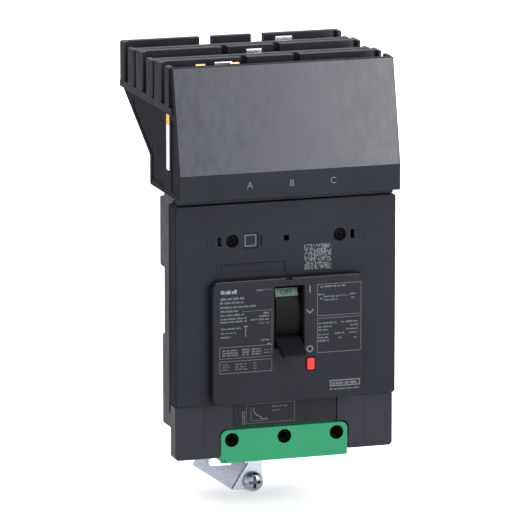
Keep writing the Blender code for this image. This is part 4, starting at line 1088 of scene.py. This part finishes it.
def make_plate_prints():
    draw = random.Random(5)
    lines = border(-19.6, 5.4, 14.2, 24.0, 0.2)
    for x in (-21.7, -20.8):
        for step in range(6):
            lines.append((x, x + 0.6, 13.9 + step * 1.15, 14.7 + step * 1.15))
    lines += words(draw, -6.2, 1.6, 22.2, 0.9) + words(draw, -6.2, -2.0, 20.2, 0.8)
    lines += [(-17.2, -16.95, 15.4, 22.4), (-17.2, -8.2, 15.4, 15.65)]
    curve = [(-15.8, 22.2), (-15.6, 20.6), (-14.9, 19.0), (-13.6, 17.9), (-12.0, 17.3), (-12.0, 16.3),
             (-8.6, 16.3)]
    piece("plate_print_curve", inked(ribbon(curve, 0.16), PLATE_FRONT), INK_MID)
    piece("plate_print_frame", slabs(on_plane(lines, PLATE_FRONT)), INK_FAINT)


def lettering(text, x, height, size, low, high):
    """Raised block letters with their front in the plane of the depth axis."""
    curve = bpy.data.curves.new("work", "FONT")
    curve.body = text
    curve.size = size
    curve.extrude = (high - low) / 2
    curve.align_x = "CENTER"
    curve.align_y = "CENTER"
    curve.resolution_u = 3
    return from_curve(curve, Matrix.Translation((x, (low + high) / 2, height)) @ AXES["depth"])


def make_phase_letters():
    letters = [lettering(letter, x, 135.0, 4.6, HOOD_FRONT - INK, HOOD_FRONT + UNDER)
               for letter, x in (("A", -20.7), ("B", 0.7), ("C", 21.8))]
    piece("hood_phase_letters", together(letters), INK_MID)


def make_flag_text():
    """OFF on the green flag, bent to the flag's curve."""
    flat = lettering("OFF", 0.0, 0.0, 3.6, -INK, INK)
    centre = HANDLE_REST + FLAG_ANGLE
    for vertex in flat.data.vertices:
        x, depth, height = vertex.co
        angle = centre + height / FLAG_RADIUS
        radius = FLAG_RADIUS - depth
        vertex.co = (x, HANDLE_AXIS[0] - radius * math.cos(angle), HANDLE_AXIS[1] + radius * math.sin(angle))
    piece("off_flag_text", flat, LABEL_DARK, "handle_lever")


def make_side_labels():
    """Blank stickers on the left side of the hood."""
    side = -SHELL_HALF_WIDTH
    for name, finish, heights in (("side_label_white", LABEL_WHITE, (141.0, 163.6)),
                                  ("side_label_yellow", LABEL_YELLOW, (163.8, 168.4))):
        sticker = slabs([(side - 0.08, side + 0.1, 11.2, 16.2, *heights)])
        piece(name, sticker, finish)


# ---- frame nodes that keep their CAD shape

KEPT = {
    "line_conductor": COPPER, "contact_arm": COPPER, "load_strap": COPPER, "arc_chute": FIBRE,
    "crossbar": COMB_DARK, "trip_bar": COMB_DARK, "mechanism_frame": ZINC, "handle_yoke": ZINC,
    "handle_pivot_pin": BRIGHT, "toggle_pin": BRIGHT, "toggle_spring": BRIGHT, "trip_button_spring": BRIGHT,
    "latch_cradle": DARK_STEEL_AND_RECESS_SHADE, "magnet_yoke": DARK_STEEL_AND_RECESS_SHADE, "bimetal": BIMETAL,
}


def finish_kept_nodes():
    for name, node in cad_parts.items():
        if node.hide_render:
            continue
        for prefix, finish in KEPT.items():
            if name.startswith(prefix):
                for holder in node.material_slots:
                    holder.material = finish


# ---- stage

def make_floor():
    """White paper under the part, slightly glowing so that it renders white."""
    bm = bmesh.new()
    bmesh.ops.create_grid(bm, x_segments=1, y_segments=1, size=FLOOR_SIZE)
    floor = placed("floor", meshed(bm, "floor"))
    floor.location = (0.0, 0.0, CAD_LOW.z)
    paper = Finish("floor_paper", specular=0.1)
    paper.colour(paper.noise(3.0), (0.93, 0.93, 0.93), (0.95, 0.95, 0.95))
    paper.rough(paper.noise(60.0), 0.85, 0.95)
    paper.shader.inputs["Emission Color"].default_value = (1.0, 1.0, 1.0, 1.0)
    paper.shader.inputs["Emission Strength"].default_value = 0.35
    floor.data.materials.append(paper.material)


def make_lights():
    world = bpy.data.worlds.new("studio")
    world.use_nodes = True
    background = world.node_tree.nodes["Background"]
    background.inputs["Color"].default_value = (0.93, 0.96, 1.0, 1.0)
    background.inputs["Strength"].default_value = WORLD_STRENGTH
    bpy.context.scene.world = world
    bpy.context.scene.view_settings.view_transform = "Standard"

    panel = bpy.data.lights.new("right_softbox", "AREA")
    panel.shape = "RECTANGLE"
    panel.size, panel.size_y = SOFTBOX_SIZE
    panel.energy = SOFTBOX_POWER
    light = placed("right_softbox", panel)
    light.location = SOFTBOX_PLACE
    light.rotation_mode = "QUATERNION"
    light.rotation_quaternion = (SOFTBOX_TARGET - SOFTBOX_PLACE).to_track_quat("-Z", "Y")
    light.visible_camera = False

    overhead = bpy.data.lights.new("overhead", "SUN")
    overhead.energy = SUN_POWER
    overhead.angle = SUN_ANGLE
    placed("overhead", overhead)


def make_camera():
    data = bpy.data.cameras.new("camera")
    data.lens = CAMERA_LENS
    data.sensor_width = SENSOR_WIDTH
    camera = placed("camera", data)
    forward = Vector((math.sin(CAMERA_AZIMUTH) * math.cos(CAMERA_PITCH),
                      math.cos(CAMERA_AZIMUTH) * math.cos(CAMERA_PITCH), -math.sin(CAMERA_PITCH)))
    camera.location = TO_FRAME @ Vector(CAMERA_TARGET) - forward * CAMERA_DISTANCE
    camera.rotation_mode = "QUATERNION"
    camera.rotation_quaternion = forward.to_track_quat("-Z", "Y")
    bpy.context.scene.camera = camera


make_camera()
make_main_cover()
make_nose_cover()
make_lower_housing()
make_label_panel()
make_lug_cover()
make_line_hood()
make_bus_comb()
make_jaws()
make_rear_base()
make_handle()
make_handle_shield()
make_flags()
make_trip_button()
make_cover_screws()
make_lug_screws()
make_box_lugs()
make_bracket()
make_mounting_screw()
make_nose_prints()
make_cover_prints()
make_plate_prints()
make_phase_letters()
make_flag_text()
make_side_labels()
finish_kept_nodes()
make_floor()
make_lights()
